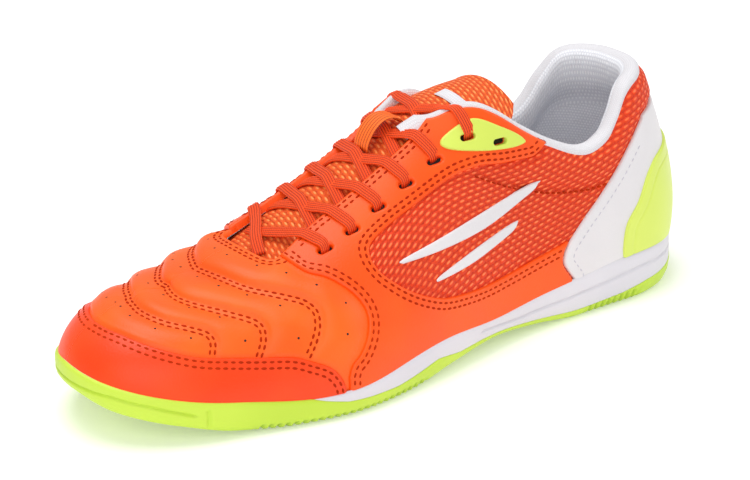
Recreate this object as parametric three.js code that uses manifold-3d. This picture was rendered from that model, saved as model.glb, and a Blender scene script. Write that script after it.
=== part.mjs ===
// Indoor soccer shoe, left foot, as an assembly of closed solids. Millimetres, +Z up.
// Toe towards -X, heel towards +X, lateral side towards -Y. The origin is under the middle of the shoe.
import * as THREE from "three";
import { mergeVertices } from "three/addons/utils/BufferGeometryUtils.js";
import Module from "manifold-3d";

const wasm = await Module();
wasm.setup();

// Driving dimensions of the last.
const LENGTH = 292; // toe tip to heel, along the feather line
const BALL_WIDTH = 104; // across the widest part of the forefoot
const INSTEP_HEIGHT = 80; // top of the eyestay above the sole
const HEEL_HEIGHT = 75; // back of the collar above the sole
const SOLE_HEIGHT = 22; // sole at the heel, floor to feather line

// Sizes of the pieces that can be set by themselves.
const WALL = 2; // upper
const GAP = 0.3; // between pieces that meet
const LEATHER = 1.2; // overlays on the upper
const PATCH = 0.8; // moulded pieces on the overlays
const LINING = 4; // padding round the collar
const LINING_DEPTH = 24; // how far the padding reaches down inside
const LINING_RISE = 2.4; // padding that shows above the collar edge
const LINING_START = 0.575; // share of LENGTH
const TONGUE = 5;
const INSOLE = 4;
const INSOLE_LIFT = 0.75; // above the feather line
const SOLE_LIP = 2.6; // how far the sole wall stands out past the upper
const RUBBER = 3.2; // outsole under the foot
const TOE_WRAP = 5; // outsole wall round the toe
const GROOVE_WIDTH = 2.2;
const GROOVE_DEPTH = 1.5;
const GROOVE_PITCH = 6.8;
const THROAT_HALF = 16;
const EYELET_LONG = 6.4;
const EYELET_WIDE = 2.6;
const EYELET_INSET = 9; // from the throat edge out to the middle of an eyelet
const LACE_WIDTH = 6.4;
const LACE_THICK = 1.5;
const LACE_CLEAR = 1.1; // under a lace, so that its flat width clears the curve that it lies on
const UNDER_INSET = 4; // how far inside the throat edge a lace ends that goes under it
const KEEPER_WIDTH = 10;
const KEEPER_THICK = 1.2;
const KEEPER_RISE = 7.2;

// Steps of the faceted surfaces.
const COLUMNS = 28;
const ROWS_UP = 6;

// Ribs of the last, from the middle of the toe round one side to the middle of the heel.
// at: share of LENGTH where the rib starts on the middle line; turn: its way out, 0 toe, 90 side, 180 heel.
// lat, med, axis, lean, top: shares of BALL_WIDTH; feather, bottom, keel, split: shares of SOLE_HEIGHT.
// rise, drop, crest: shares of the upper's height; full: share of the rib's reach.
const RIB_COLUMNS = [
  "at", "turn", "lat", "med", "axis", "feather", "bottom", "keel", "split",
  "lean", "rise", "full", "drop", "top", "crest",
];
const RIBS = [
  [0.155, 0, 0.428, 0.428, 0.058, 1.27, 0.84, 0.16, 1.6, -0.03, 0.19, 0.46, 0.012, 0, 0.25],
  [0.16, 31, 0.454, 0.399, 0.058, 1.09, 0.62, 0.15, 1.4, -0.03, 0.225, 0.49, 0.012, 0, 0.304],
  [0.17, 60, 0.457, 0.385, 0.058, 0.84, 0.36, 0.12, 1.1, -0.02, 0.275, 0.51, 0.012, 0, 0.381],
  [0.19, 82, 0.474, 0.394, 0.058, 0.635, 0.1, 0.06, 0.85, -0.01, 0.3, 0.55, 0.012, 0, 0.456],
  [0.25, 90, 0.524, 0.438, 0.048, 0.525, 0, 0, 0.6, 0.01, 0.338, 0.57, 0.012, 0, 0.544],
  [0.34, 90, 0.562, 0.442, 0.038, 0.515, 0, 0, 0.29, 0.02, 0.362, 0.54, 0.012, 0, 0.671],
  [0.43, 90, 0.529, 0.399, 0.029, 0.68, 0, 0, 0.32, 0.01, 0.425, 0.5, 0.025, 0.019, 0.788],
  [0.52, 90, 0.471, 0.346, 0.019, 0.773, 0.16, 0.1, 0.36, 0.01, 0.525, 0.55, 0.062, 0.067, 0.938],
  [0.61, 90, 0.404, 0.317, 0.014, 0.66, 0.25, 0.22, 0.36, 0.01, 0.6, 0.75, 0.312, 0.192, 1.169],
  [0.7, 90, 0.361, 0.327, 0.01, 0.727, 0.13, 0.1, 0.28, 0.02, 0.503, 0.82, 0.478, 0.25, 1.283],
  [0.79, 90, 0.351, 0.337, 0.005, 0.864, 0, 0, 0.2, 0.03, 0.445, 0.88, 0.55, 0.26, 1.348],
  [0.865, 96, 0.348, 0.348, 0, 1.014, 0, 0, 0.25, 0.038, 0.4, 0.9, 0.587, 0.235, 1.356],
  [0.885, 120, 0.354, 0.346, 0, 1.03, 0.03, 0, 0.36, 0.038, 0.373, 0.86, 0.587, 0.175, 1.351],
  [0.895, 150, 0.33, 0.323, 0, 0.977, 0.09, 0, 0.41, 0.048, 0.347, 0.81, 0.587, 0.115, 1.367],
  [0.9, 180, 0.305, 0.305, 0, 0.932, 0.2, 0, 0.45, 0.048, 0.347, 0.78, 0.587, 0.085, 1.38],
];
const LAST_RIB = RIBS.length - 1;

// Collar edge: place, then height on the lateral and on the medial side.
const COLLAR = [
  [0.5, 1.03, 0.99],
  [0.56, 0.962, 0.906],
  [0.6, 1.006, 0.919],
  [0.63, 1.006, 0.912],
  [0.66, 0.95, 0.862],
  [0.7, 0.843, 0.767],
  [0.75, 0.738, 0.668],
  [0.8, 0.677, 0.605],
  [0.84, 0.725, 0.619],
  [0.865, 0.833, 0.693],
  [0.89, 0.96, 0.84],
  [0.93, 1, 0.987],
  [1.03, 1, 1],
];
const THROAT_START = 0.305; // share of LENGTH
const THROAT_ROUND = 0.07; // share of LENGTH that its rounded front takes
const THROAT_END = 0.66;
const EYELETS = [0.361, 0.407, 0.454, 0.503, 0.553, 0.607];
const SPARE_EYELET = 0.654;
const SPARE_INSET = 13.5;
const PATCH_START = 0.565;
const KEEPER_FROM = 0.496;
const KEEPER_TO = 0.558;
const EDGE_REACH = 4.5; // how far inside the throat edge a lace already lies at the height of the edge

// Outlines seen from the side, as shares of LENGTH and of the upper's height above the sole.
const TOE_EDGE = [
  [-0.1, 0.27],
  [0.049, 0.26],
  [0.06, 0.245],
  [0.087, 0.2],
  [0.123, 0.16],
  [0.168, 0.13],
  [0.214, 0.107],
  [0.251, 0.088],
  [0.274, 0.056],
  [0.297, 0.01],
  [0.312, -0.05],
  [0.318, -0.11],
];
const VAMP_EDGE = [
  [0.306, 0.46],
  [0.319, 0.406],
  [0.341, 0.378],
  [0.359, 0.324],
  [0.37, 0.26],
  [0.372, 0.19],
  [0.363, 0.108],
  [0.347, 0.036],
  [0.332, -0.006],
  [0.325, -0.06],
];
const WINDOW = [
  [0.767, 0.207], [0.749, 0.18], [0.703, 0.146], [0.653, 0.119], [0.6, 0.109], [0.552, 0.125],
  [0.51, 0.153], [0.474, 0.206], [0.447, 0.262], [0.427, 0.319], [0.415, 0.368], [0.411, 0.429],
  [0.422, 0.485], [0.461, 0.554], [0.494, 0.602], [0.532, 0.654], [0.568, 0.7], [0.593, 0.718],
  [0.62, 0.722], [0.654, 0.704], [0.692, 0.697], [0.714, 0.705], [0.735, 0.76],
];
const COUNTER_EDGE = [
  [0.773, -0.042], [0.755, 0.057], [0.755, 0.122], [0.764, 0.184], [0.791, 0.295],
  [0.823, 0.412], [0.851, 0.521], [0.883, 0.657], [0.91, 0.76], [0.937, 0.8], [1.1, 0.84],
];
const HEEL_PATCH_EDGE = [
  [0.867, -0.06], [0.862, 0.06], [0.867, 0.2], [0.889, 0.317], [0.914, 0.481],
  [0.955, 0.551], [1.1, 0.6],
];
const EYELET_PATCH = [
  [0.571, 0.865], [0.569, 0.842], [0.579, 0.821], [0.609, 0.8], [0.64, 0.782], [0.676, 0.772],
  [0.696, 0.785], [0.694, 0.81], [0.68, 0.85], [0.656, 0.9], [0.635, 0.942], [0.62, 0.955],
  [0.604, 0.94], [0.58, 0.89],
];
const SIDE_BARS = [
  [[0.452, 0.375], [0.47, 0.41], [0.7, 0.56], [0.712, 0.548], [0.69, 0.5], [0.6, 0.41]],
  [[0.5, 0.245], [0.515, 0.28], [0.655, 0.385], [0.668, 0.372], [0.65, 0.33], [0.58, 0.268]],
];

// Tongue: place, height of its crest, half width and how far its sides hang, as a share of its half width.
const TONGUE_ROWS = [
  [0.262, 0.37, 0.15, 0.2],
  [0.3, 0.43, 0.21, 0.3],
  [0.36, 0.53, 0.25, 0.36],
  [0.43, 0.66, 0.26, 0.37],
  [0.52, 0.83, 0.26, 0.37],
  [0.58, 0.925, 0.26, 0.37],
  [0.64, 0.98, 0.26, 0.37],
  [0.69, 1.005, 0.245, 0.37],
  [0.712, 1.02, 0.19, 0.3],
];

const mix = (a, b, k) => a * (1 - k) + b * k;
const clamp = (v, a, b) => Math.min(Math.max(v, a), b);
const smooth = (k) => k * k * (3 - 2 * k);

// Height of the upper above the sole, which blends from instep to heel.
function heightAt(share) {
  return mix(INSTEP_HEIGHT, HEEL_HEIGHT, smooth(clamp((share - 0.66) / 0.2, 0, 1)));
}

// Point of the side view, from shares.
function sidePoint([share, up]) {
  return [share * LENGTH, SOLE_HEIGHT + up * heightAt(share)];
}

// Natural cubic spline through values at whole numbers.
function spline(values) {
  const n = values.length;
  const pull = new Array(n).fill(0);
  const bend = new Array(n).fill(0);
  for (let i = 1; i < n - 1; i++) {
    const step = 4 - pull[i - 1];
    pull[i] = 1 / step;
    bend[i] = (6 * (values[i - 1] - 2 * values[i] + values[i + 1]) - bend[i - 1]) / step;
  }
  for (let i = n - 2; i > 0; i--) bend[i] -= pull[i] * bend[i + 1];
  return (place) => {
    const p = clamp(place, 0, n - 1);
    const i = Math.min(Math.floor(p), n - 2);
    const u = p - i;
    const w = 1 - u;
    return values[i] * w + values[i + 1] * u + ((w ** 3 - w) * bend[i] + (u ** 3 - u) * bend[i + 1]) / 6;
  };
}

// Curve through values at whole numbers that never swings past them, so that a flat stretch stays flat.
function steadyCurve(values) {
  const steps = values.slice(1).map((v, i) => v - values[i]);
  const slopes = values.map((_, i) => {
    const [before, after] = [steps[i - 1] ?? 0, steps[i] ?? 0];
    return before * after > 0 ? (2 * before * after) / (before + after) : 0;
  });
  return (place) => {
    const p = clamp(place, 0, values.length - 1);
    const i = Math.min(Math.floor(p), values.length - 2);
    const u = p - i;
    const curve = slopes[i] * u * (1 - u) ** 2 - slopes[i + 1] * u * u * (1 - u);
    return values[i] + steps[i] * smooth(u) + curve;
  };
}

const STEADY = ["bottom", "keel", "split", "top"];
const ribSplines = RIB_COLUMNS.map((name, c) =>
  (STEADY.includes(name) ? steadyCurve : spline)(RIBS.map((row) => row[c])),
);

// The rib at place t, 0 at the toe to LAST_RIB at the heel, in real sizes.
function ribAt(t, side) {
  const share = Object.fromEntries(RIB_COLUMNS.map((name, c) => [name, ribSplines[c](t)]));
  const height = heightAt(share.at);
  const reach = (side < 0 ? share.lat : share.med) * BALL_WIDTH;
  const feather = share.feather * SOLE_HEIGHT;
  const turn = THREE.MathUtils.degToRad(share.turn);
  return {
    x: share.at * LENGTH,
    y: share.axis * BALL_WIDTH,
    out: [-Math.cos(turn), side * Math.sin(turn)],
    reach,
    feather,
    bottom: share.bottom * SOLE_HEIGHT,
    keel: share.keel * SOLE_HEIGHT,
    split: share.split * SOLE_HEIGHT,
    arc: [
      [reach, feather],
      [reach + share.lean * BALL_WIDTH, feather + share.rise * height],
      [share.full * reach, feather + (share.crest - share.drop) * height],
      [share.top * BALL_WIDTH, feather + share.crest * height],
    ],
  };
}

// Point of a rib's curve, v from 0 at the feather line to 1 at the top, moved out by offset.
// At the feather line it only moves sideways, so that every piece ends there at one height.
function arcPoint(rib, v, offset) {
  const [a, b, c, d] = rib.arc;
  const w = 1 - v;
  const at = (k) => w ** 3 * a[k] + 3 * w * w * v * b[k] + 3 * w * v * v * c[k] + v ** 3 * d[k];
  const slope = (k) => w * w * (b[k] - a[k]) + 2 * w * v * (c[k] - b[k]) + v * v * (d[k] - c[k]);
  const length = Math.hypot(slope(0), slope(1));
  const out = [slope(1) / length, -slope(0) / length];
  if (v === 0) return [a[0] + offset, a[1]];
  if (v === 1 && d[0] === 0) return [0, d[1] + offset];
  return [at(0) + offset * out[0], at(1) + offset * out[1]];
}

// Place of the rib that starts at a share of LENGTH; the ribs of the waist stand straight out sideways.
function ribPlace(share) {
  let low = 3;
  let high = 11;
  for (let i = 0; i < 40; i++) {
    const middle = (low + high) / 2;
    if (ribSplines[0](middle) < share) low = middle;
    else high = middle;
  }
  return low;
}

const places = Array.from({ length: COLUMNS + 1 }, (_, i) => (i * LAST_RIB) / COLUMNS);

// Closed body whose section at each rib is a profile of [distance out, height] points, from the middle
// line round the outside and back to the middle line.
function loft(profile, columns = places) {
  const soup = [];
  for (const side of [-1, 1]) {
    const lines = columns.map((t) => {
      const rib = ribAt(t, side);
      return profile(rib, t, side).map(
        ([r, z]) => new THREE.Vector3(rib.x + rib.out[0] * r, rib.y + rib.out[1] * r, z),
      );
    });
    const face = side < 0 ? (a, b, c) => soup.push(a, b, c) : (a, b, c) => soup.push(a, c, b);
    for (let i = 0; i + 1 < lines.length; i++) {
      for (let j = 0; j + 1 < lines[i].length; j++) {
        const [a, b] = [lines[i][j], lines[i + 1][j]];
        const [c, d] = [lines[i + 1][j + 1], lines[i][j + 1]];
        face(a, b, c);
        face(a, c, d);
      }
    }
  }
  return solidOf(new THREE.BufferGeometry().setFromPoints(soup));
}

// Manifold solid of a closed geometry, whichever way round its faces are.
function solidOf(geometry) {
  const bare = new THREE.BufferGeometry();
  const source = geometry.index ? geometry.toNonIndexed() : geometry;
  bare.setAttribute("position", source.getAttribute("position").clone());
  const merged = mergeVertices(bare, 1e-3);
  const index = merged.index.array;
  const faces = [];
  for (let i = 0; i < index.length; i += 3) {
    const [a, b, c] = [index[i], index[i + 1], index[i + 2]];
    if (a !== b && b !== c && c !== a) faces.push(a, b, c);
  }
  const make = (list) =>
    new wasm.Manifold(
      new wasm.Mesh({
        numProp: 3,
        vertProperties: merged.attributes.position.array,
        triVerts: new Uint32Array(list),
      }),
    );
  const solid = make(faces);
  return solid.volume() > 0 ? solid : make(faces.reverse());
}

// The largest connected body of a solid.
function largest(solid) {
  return solid.decompose().sort((a, b) => b.volume() - a.volume())[0];
}

// Outer form of the upper moved out by offset, from `below` under the feather line up past the collar.
function form(offset, below = 0) {
  return loft((rib) => {
    const [r, z] = arcPoint(rib, 0, offset);
    const wall = [];
    for (let j = 0; j <= ROWS_UP; j++) wall.push(arcPoint(rib, j / ROWS_UP, offset));
    const foot = below > 0 ? [[0, z - below], [r, z - below]] : [[0, z]];
    return [...foot, ...wall, [0, rib.arc[3][1] + offset]];
  });
}

// Solid between two offsets of the upper's outer form.
function skin(inner, outer) {
  return form(outer).subtract(form(inner, 5));
}

// A closed outline of [x, z] points, run along Y from one place to another.
function sideCut(points, from, to) {
  const shape = new THREE.Shape(points.map(([x, z]) => new THREE.Vector2(x, z)));
  const geometry = new THREE.ExtrudeGeometry(shape, { depth: to - from, bevelEnabled: false });
  geometry.rotateX(Math.PI / 2);
  geometry.translate(0, to, 0);
  return solidOf(geometry);
}

// A closed outline of [x, y] points, run up along Z from one height to another.
function planCut(points, from, to) {
  const shape = new THREE.Shape(points.map(([x, y]) => new THREE.Vector2(x, y)));
  const geometry = new THREE.ExtrudeGeometry(shape, { depth: to - from, bevelEnabled: false });
  geometry.translate(0, 0, from);
  return solidOf(geometry);
}

// Smooth line through points given as shares.
function smoothLine(shares, steps = 2) {
  const points = shares.map(sidePoint).map(([x, z]) => new THREE.Vector2(x, z));
  const curve = new THREE.SplineCurve(points);
  return curve.getPoints(steps * (points.length - 1)).map((p) => [p.x, p.y]);
}

const FAR = BALL_WIDTH; // past the widest place
const UNDER = -SOLE_HEIGHT;
const OVER = 2 * (INSTEP_HEIGHT + SOLE_HEIGHT);
const PAST_TOE = -0.2 * LENGTH;
const PAST_HEEL = 1.2 * LENGTH;
const middleAt = (share) => ribAt(ribPlace(share), 1).y;
const MIDDLE = middleAt(0.7);

// One side of the shoe, as the range of Y that it takes, a little past the middle.
const sideRange = (side) => (side < 0 ? [-FAR, MIDDLE + GAP] : [MIDDLE - GAP, FAR]);

function throatCut() {
  const points = [];
  const steps = 6;
  for (let i = 0; i <= steps; i++) {
    const k = (i / steps) ** 2;
    const share = THROAT_START + THROAT_ROUND * k;
    points.push([share, THROAT_HALF * Math.sqrt(1 - (1 - k) ** 2)]);
  }
  points.push([THROAT_END, THROAT_HALF]);
  const edge = (side) => points.map(([share, half]) => [share * LENGTH, middleAt(share) + side * half]);
  return planCut([...edge(-1), ...edge(1).reverse().slice(0, -1)], SOLE_HEIGHT, OVER);
}

// Smooth collar line of one side, from the eyestay to behind the heel, raised by lift.
function collarLine(side, lift = 0) {
  const rows = COLLAR.map(([share, lateral, medial]) => [share, side < 0 ? lateral : medial]);
  return smoothLine(rows).map(([x, z]) => [x, z + lift]);
}

function collarCut(side, lift = 0) {
  const line = collarLine(side, lift);
  const [from, to] = sideRange(side);
  return sideCut([...line, [PAST_HEEL, line.at(-1)[1]], [PAST_HEEL, OVER], [line[0][0], OVER]], from, to);
}

const opening = throatCut().add(collarCut(-1)).add(collarCut(1));

// Where an eyelet's middle lies and which way is straight out of the upper there.
function eyeletSeat(share, side, inset = EYELET_INSET) {
  const rib = ribAt(ribPlace(share), side);
  const target = THROAT_HALF + inset;
  let low = 0;
  let high = 1;
  for (let i = 0; i < 40; i++) {
    const middle = (low + high) / 2;
    if (arcPoint(rib, middle, 0)[0] > target) low = middle;
    else high = middle;
  }
  const [r, z] = arcPoint(rib, low, 0);
  const [r2, z2] = arcPoint(rib, low, 1);
  return {
    point: new THREE.Vector3(rib.x, rib.y + side * r, z),
    normal: new THREE.Vector3(0, side * (r2 - r), z2 - z),
  };
}

// Slot through the upper and what lies on it, long way along the eyestay.
function eyeletCut(share, side, inset) {
  const { point, normal } = eyeletSeat(share, side, inset);
  const shape = new THREE.Shape();
  const half = (EYELET_LONG - EYELET_WIDE) / 2;
  shape.absarc(half, 0, EYELET_WIDE / 2, -Math.PI / 2, Math.PI / 2);
  shape.absarc(-half, 0, EYELET_WIDE / 2, Math.PI / 2, 1.5 * Math.PI);
  const depth = 4 * (WALL + LEATHER + PATCH);
  const geometry = new THREE.ExtrudeGeometry(shape, { depth, bevelEnabled: false, curveSegments: 2 });
  geometry.translate(0, 0, -depth / 2);
  const across = new THREE.Vector3(1, 0, 0).cross(normal).normalize();
  const along = across.clone().cross(normal).normalize();
  geometry.applyMatrix4(new THREE.Matrix4().makeBasis(along, across, normal).setPosition(point));
  return solidOf(geometry);
}

const eyeletCuts = wasm.Manifold.union(
  [-1, 1].flatMap((side) => [
    ...EYELETS.map((share) => eyeletCut(share, side, EYELET_INSET)),
    eyeletCut(SPARE_EYELET, side, SPARE_INSET),
  ]),
);

function makeUpper() {
  return largest(form(0).subtract(form(-WALL, 5)).subtract(opening).subtract(eyeletCuts));
}

const overlaySkin = skin(GAP, GAP + LEATHER).subtract(opening);
const patchSkin = skin(2 * GAP + LEATHER, 2 * GAP + LEATHER + PATCH).subtract(opening);

function makeToeOverlay() {
  const line = smoothLine(TOE_EDGE, 1);
  const [endX] = line.at(-1);
  const outline = [...line, [endX, UNDER], [PAST_TOE, UNDER]];
  return largest(overlaySkin.intersect(sideCut(outline, -FAR, FAR)));
}

// Eyestay, vamp edge and lower quarter in one piece, round the mesh window.
function makeSideOverlay(side) {
  const front = smoothLine(VAMP_EDGE, 1);
  const counter = smoothLine(COUNTER_EDGE, 1).map(([x, z]) => [x - 2 * GAP, z]);
  const window = smoothLine(WINDOW, 1);
  const rear = counter.filter(([, z]) => z < window[1][1] - GAP);
  const [endX] = window.at(-1);
  const outline = [
    [front[0][0], OVER],
    ...front,
    [front.at(-1)[0] - 2, UNDER],
    [rear[0][0], UNDER],
    ...rear,
    ...window,
    [endX + 3, OVER],
  ];
  const [from, to] = sideRange(side);
  return largest(overlaySkin.intersect(sideCut(outline, from, to)).subtract(eyeletCuts));
}

function makeHeelCounter() {
  const line = smoothLine(COUNTER_EDGE, 1);
  const outline = [...line, [PAST_HEEL, line.at(-1)[1]], [PAST_HEEL, UNDER], [line[0][0], UNDER]];
  return largest(overlaySkin.intersect(sideCut(outline, -FAR, FAR)));
}

function makeHeelPatch() {
  const line = smoothLine(HEEL_PATCH_EDGE, 1);
  const outline = [...line, [PAST_HEEL, line.at(-1)[1]], [PAST_HEEL, UNDER], [line[0][0], UNDER]];
  return largest(patchSkin.intersect(sideCut(outline, -FAR, FAR)));
}

function makeEyeletPatch(side) {
  const outline = smoothLine([...EYELET_PATCH, EYELET_PATCH[0]], 1).slice(0, -1);
  const [from, to] = sideRange(side);
  return largest(patchSkin.intersect(sideCut(outline, from, to)).subtract(eyeletCuts));
}

function makeSideBar(bar, side) {
  const points = smoothLine([...bar, bar[0]], 2).slice(0, -1);
  const [from, to] = sideRange(side);
  return largest(skin(GAP, GAP + PATCH).intersect(sideCut(points, from, to)));
}

// Band along the collar line between two heights from it, from the eyestay back.
function collarBand(side, low, high, clear) {
  const over = collarLine(side, high);
  const under = collarLine(side, low).reverse();
  const [from, to] = sideRange(side);
  const start = LINING_START * LENGTH - clear;
  const band = [...over, [PAST_HEEL, over.at(-1)[1]], [PAST_HEEL, under[0][1]], ...under];
  const keep = sideCut([[start, UNDER], [PAST_HEEL, UNDER], [PAST_HEEL, OVER], [start, OVER]], from, to);
  return sideCut(band, from, to).intersect(keep);
}

// The padding's place, grown all round by clear.
function liningBand(clear = 0) {
  const [low, high] = [-LINING_DEPTH - clear, LINING_RISE + clear];
  return collarBand(-1, low, high, clear).add(collarBand(1, low, high, clear));
}

function makeLining() {
  const ring = form(-WALL - GAP).subtract(form(-WALL - GAP - LINING, 5));
  return largest(ring.intersect(liningBand()).subtract(throatCut()));
}

// Section of the sole at a rib: top under the upper, side wall with its step, tread and spring.
function soleProfile(rib) {
  const r = rib.reach;
  const top = rib.feather - 1.5 * GAP;
  const tall = top - rib.bottom;
  const under = (k) => mix(rib.keel, rib.bottom, k * k);
  return [
    [0, top],
    [r + 0.4 * SOLE_LIP, top],
    [r + 0.8 * SOLE_LIP, top - 0.08 * tall],
    [r + SOLE_LIP, top - 0.35 * tall],
    [r + SOLE_LIP, top - 0.6 * tall],
    [r + 0.45 * SOLE_LIP, rib.bottom + 0.12 * tall],
    [r - 0.6 * SOLE_LIP, rib.bottom],
    [0.55 * r, under(0.55)],
    [0, rib.keel],
  ];
}

// Everything under the line between rubber and foam, with the rubber's wall round the toe.
function rubberSpace(clear) {
  return loft((rib) => {
    const inside = rib.reach + SOLE_LIP - TOE_WRAP;
    const core = Math.min(rib.keel + RUBBER, rib.split) + clear;
    const edge = Math.max(rib.split, rib.keel + 1) + clear;
    return [
      [0, core],
      [0.6 * inside, mix(core, Math.min(rib.bottom + RUBBER, edge), 0.3)],
      [inside - clear, Math.min(rib.bottom + RUBBER + clear, edge)],
      [inside + 0.2 - clear, edge],
      [rib.reach + 4 * SOLE_LIP, edge],
      [rib.reach + 4 * SOLE_LIP, UNDER],
      [0, UNDER],
    ];
  });
}

const sole = loft(soleProfile);

function treadCuts() {
  const cuts = [];
  const spans = [[0.256, 0.43], [0.795, 0.865]];
  for (const [from, to] of spans) {
    const count = Math.floor(((to - from) * LENGTH) / GROOVE_PITCH);
    for (let i = 0; i <= count; i++) {
      const x = from * LENGTH + i * GROOVE_PITCH;
      const box = new THREE.BoxGeometry(GROOVE_WIDTH, 2 * FAR, 2 * GROOVE_DEPTH);
      box.translate(x, 0, 0);
      cuts.push(solidOf(box));
    }
  }
  return wasm.Manifold.union(cuts);
}

const makeOutsole = () => largest(sole.intersect(rubberSpace(0)).subtract(treadCuts()));
const makeMidsole = () => largest(sole.subtract(rubberSpace(GAP)));

function makeInsole() {
  return loft((rib) => {
    const leanIn = Math.min(rib.arc[1][0] - rib.reach, 0); // the toe's wall leans in over the insole
    const edge = rib.reach - WALL - 2 * GAP + 0.35 * leanIn;
    const low = rib.feather + INSOLE_LIFT;
    return [
      [0, low],
      [edge - 0.25 * INSOLE, low],
      [edge, low + 0.5 * INSOLE],
      [edge - 0.4 * INSOLE, low + INSOLE],
      [0, low + 0.8 * INSOLE],
    ];
  });
}

// Height of the tongue's outer face at a place along the shoe and a share of its half width.
const tongueSplines = [0, 1, 2, 3].map((c) => spline(TONGUE_ROWS.map((row) => row[c])));
function tonguePoint(place, across, sunk = 0) {
  const [share, up, half, hang] = tongueSplines.map((f) => f(place));
  const width = half * BALL_WIDTH;
  const y = middleAt(share) + across * width;
  const z = SOLE_HEIGHT + up * heightAt(share) - hang * width * across * across;
  return new THREE.Vector3(share * LENGTH, y, z - sunk);
}

// Closed body between two grids of points with the same rows and columns.
function slab(over, under) {
  const soup = [];
  const rows = over.length;
  const columns = over[0].length;
  const quad = (a, b, c, d) => soup.push(a, b, c, a, c, d);
  for (let i = 0; i + 1 < rows; i++) {
    for (let j = 0; j + 1 < columns; j++) {
      quad(over[i][j], over[i + 1][j], over[i + 1][j + 1], over[i][j + 1]);
      quad(under[i][j], under[i][j + 1], under[i + 1][j + 1], under[i + 1][j]);
    }
    quad(over[i][0], under[i][0], under[i + 1][0], over[i + 1][0]);
    quad(over[i + 1][columns - 1], under[i + 1][columns - 1], under[i][columns - 1], over[i][columns - 1]);
  }
  for (let j = 0; j + 1 < columns; j++) {
    quad(over[0][j + 1], under[0][j + 1], under[0][j], over[0][j]);
    quad(over[rows - 1][j], under[rows - 1][j], under[rows - 1][j + 1], over[rows - 1][j + 1]);
  }
  return solidOf(new THREE.BufferGeometry().setFromPoints(soup));
}

function makeTongue() {
  const rows = 12;
  const columns = 8;
  const grid = (sunk) =>
    Array.from({ length: rows + 1 }, (_, i) =>
      Array.from({ length: columns + 1 }, (_, j) => {
        const across = (2 * j) / columns - 1;
        const place = (i / rows) * (TONGUE_ROWS.length - 1);
        return tonguePoint(place, across, sunk * (0.5 + 0.5 * Math.sqrt(1 - across * across)));
      }),
    );
  const clear = form(-WALL - GAP, 5);
  const lining = form(0).subtract(form(-WALL - 2 * GAP - LINING, 5));
  const padding = lining.intersect(liningBand(2 * GAP));
  return largest(slab(grid(0), grid(TONGUE)).intersect(clear).subtract(padding));
}

// Flat band along points, its flat side facing the given up directions.
function ribbon(points, ups, width, thick) {
  const lines = points.map((p, i) => {
    const ahead = points[Math.min(i + 1, points.length - 1)].clone();
    const along = ahead.sub(points[Math.max(i - 1, 0)]).normalize();
    const across = along.clone().cross(ups[i]).normalize();
    const up = across.clone().cross(along).normalize();
    const corner = (a, b) => p.clone().addScaledVector(across, a * width).addScaledVector(up, b * thick);
    return [corner(-0.5, 0), corner(-0.4, 0.5), corner(0.4, 0.5), corner(0.5, 0), corner(0.4, -0.5), corner(-0.4, -0.5)];
  });
  const soup = [];
  const sides = lines[0].length;
  for (let i = 0; i + 1 < lines.length; i++) {
    for (let j = 0; j < sides; j++) {
      const k = (j + 1) % sides;
      soup.push(lines[i][j], lines[i][k], lines[i + 1][k], lines[i][j], lines[i + 1][k], lines[i + 1][j]);
    }
  }
  for (let j = 1; j + 1 < sides; j++) {
    soup.push(lines[0][0], lines[0][j + 1], lines[0][j]);
    soup.push(lines.at(-1)[0], lines.at(-1)[j], lines.at(-1)[j + 1]);
  }
  return solidOf(new THREE.BufferGeometry().setFromPoints(soup));
}

// Where the tongue's rows lie, as a place for a share of LENGTH.
function tonguePlace(share) {
  let low = 0;
  let high = TONGUE_ROWS.length - 1;
  for (let i = 0; i < 40; i++) {
    const middle = (low + high) / 2;
    if (tongueSplines[0](middle) < share) low = middle;
    else high = middle;
  }
  return low;
}

// Height of the collar edge at a place along one side.
function collarHeight(share, side) {
  const column = side < 0 ? 1 : 2;
  const next = Math.max(COLLAR.findIndex(([at]) => at > share), 1);
  const [a, b] = [COLLAR[next - 1], COLLAR[next]];
  const k = clamp((share - a[0]) / (b[0] - a[0]), 0, 1);
  return share < a[0] ? OVER : sidePoint([share, mix(a[column], b[column], k)])[1];
}

// Height of what a lace lies on, at a distance from the middle: tongue in the throat, eyestay past it.
function bedHeight(share, distance) {
  const side = Math.sign(distance) || 1;
  const far = Math.abs(distance);
  const over = share < PATCH_START ? GAP + LEATHER : 2 * GAP + LEATHER + PATCH;
  const place = tonguePlace(share);
  const overEyestay = (inset) => {
    const seat = eyeletSeat(share, side, inset);
    return Math.min(seat.point.z + over / seat.normal.z, collarHeight(share, side) + over);
  };
  if (far >= THROAT_HALF - EDGE_REACH) return overEyestay(far - THROAT_HALF);
  const crest = tonguePoint(place, far / (tongueSplines[2](place) * BALL_WIDTH)).z;
  const near = THROAT_HALF / 3;
  const rise = smooth(clamp((far - near) / (THROAT_HALF - EDGE_REACH - near), 0, 1));
  return mix(crest, Math.max(crest, overEyestay(-EDGE_REACH)), rise);
}

// Which way is out of what a lace lies on.
function bedNormal(share, distance) {
  const step = 1;
  const along = bedHeight(share + step / LENGTH, distance) - bedHeight(share - step / LENGTH, distance);
  const across = bedHeight(share, distance + step) - bedHeight(share, distance - step);
  return new THREE.Vector3(-along / (2 * step), -across / (2 * step), 1).normalize();
}

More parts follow.
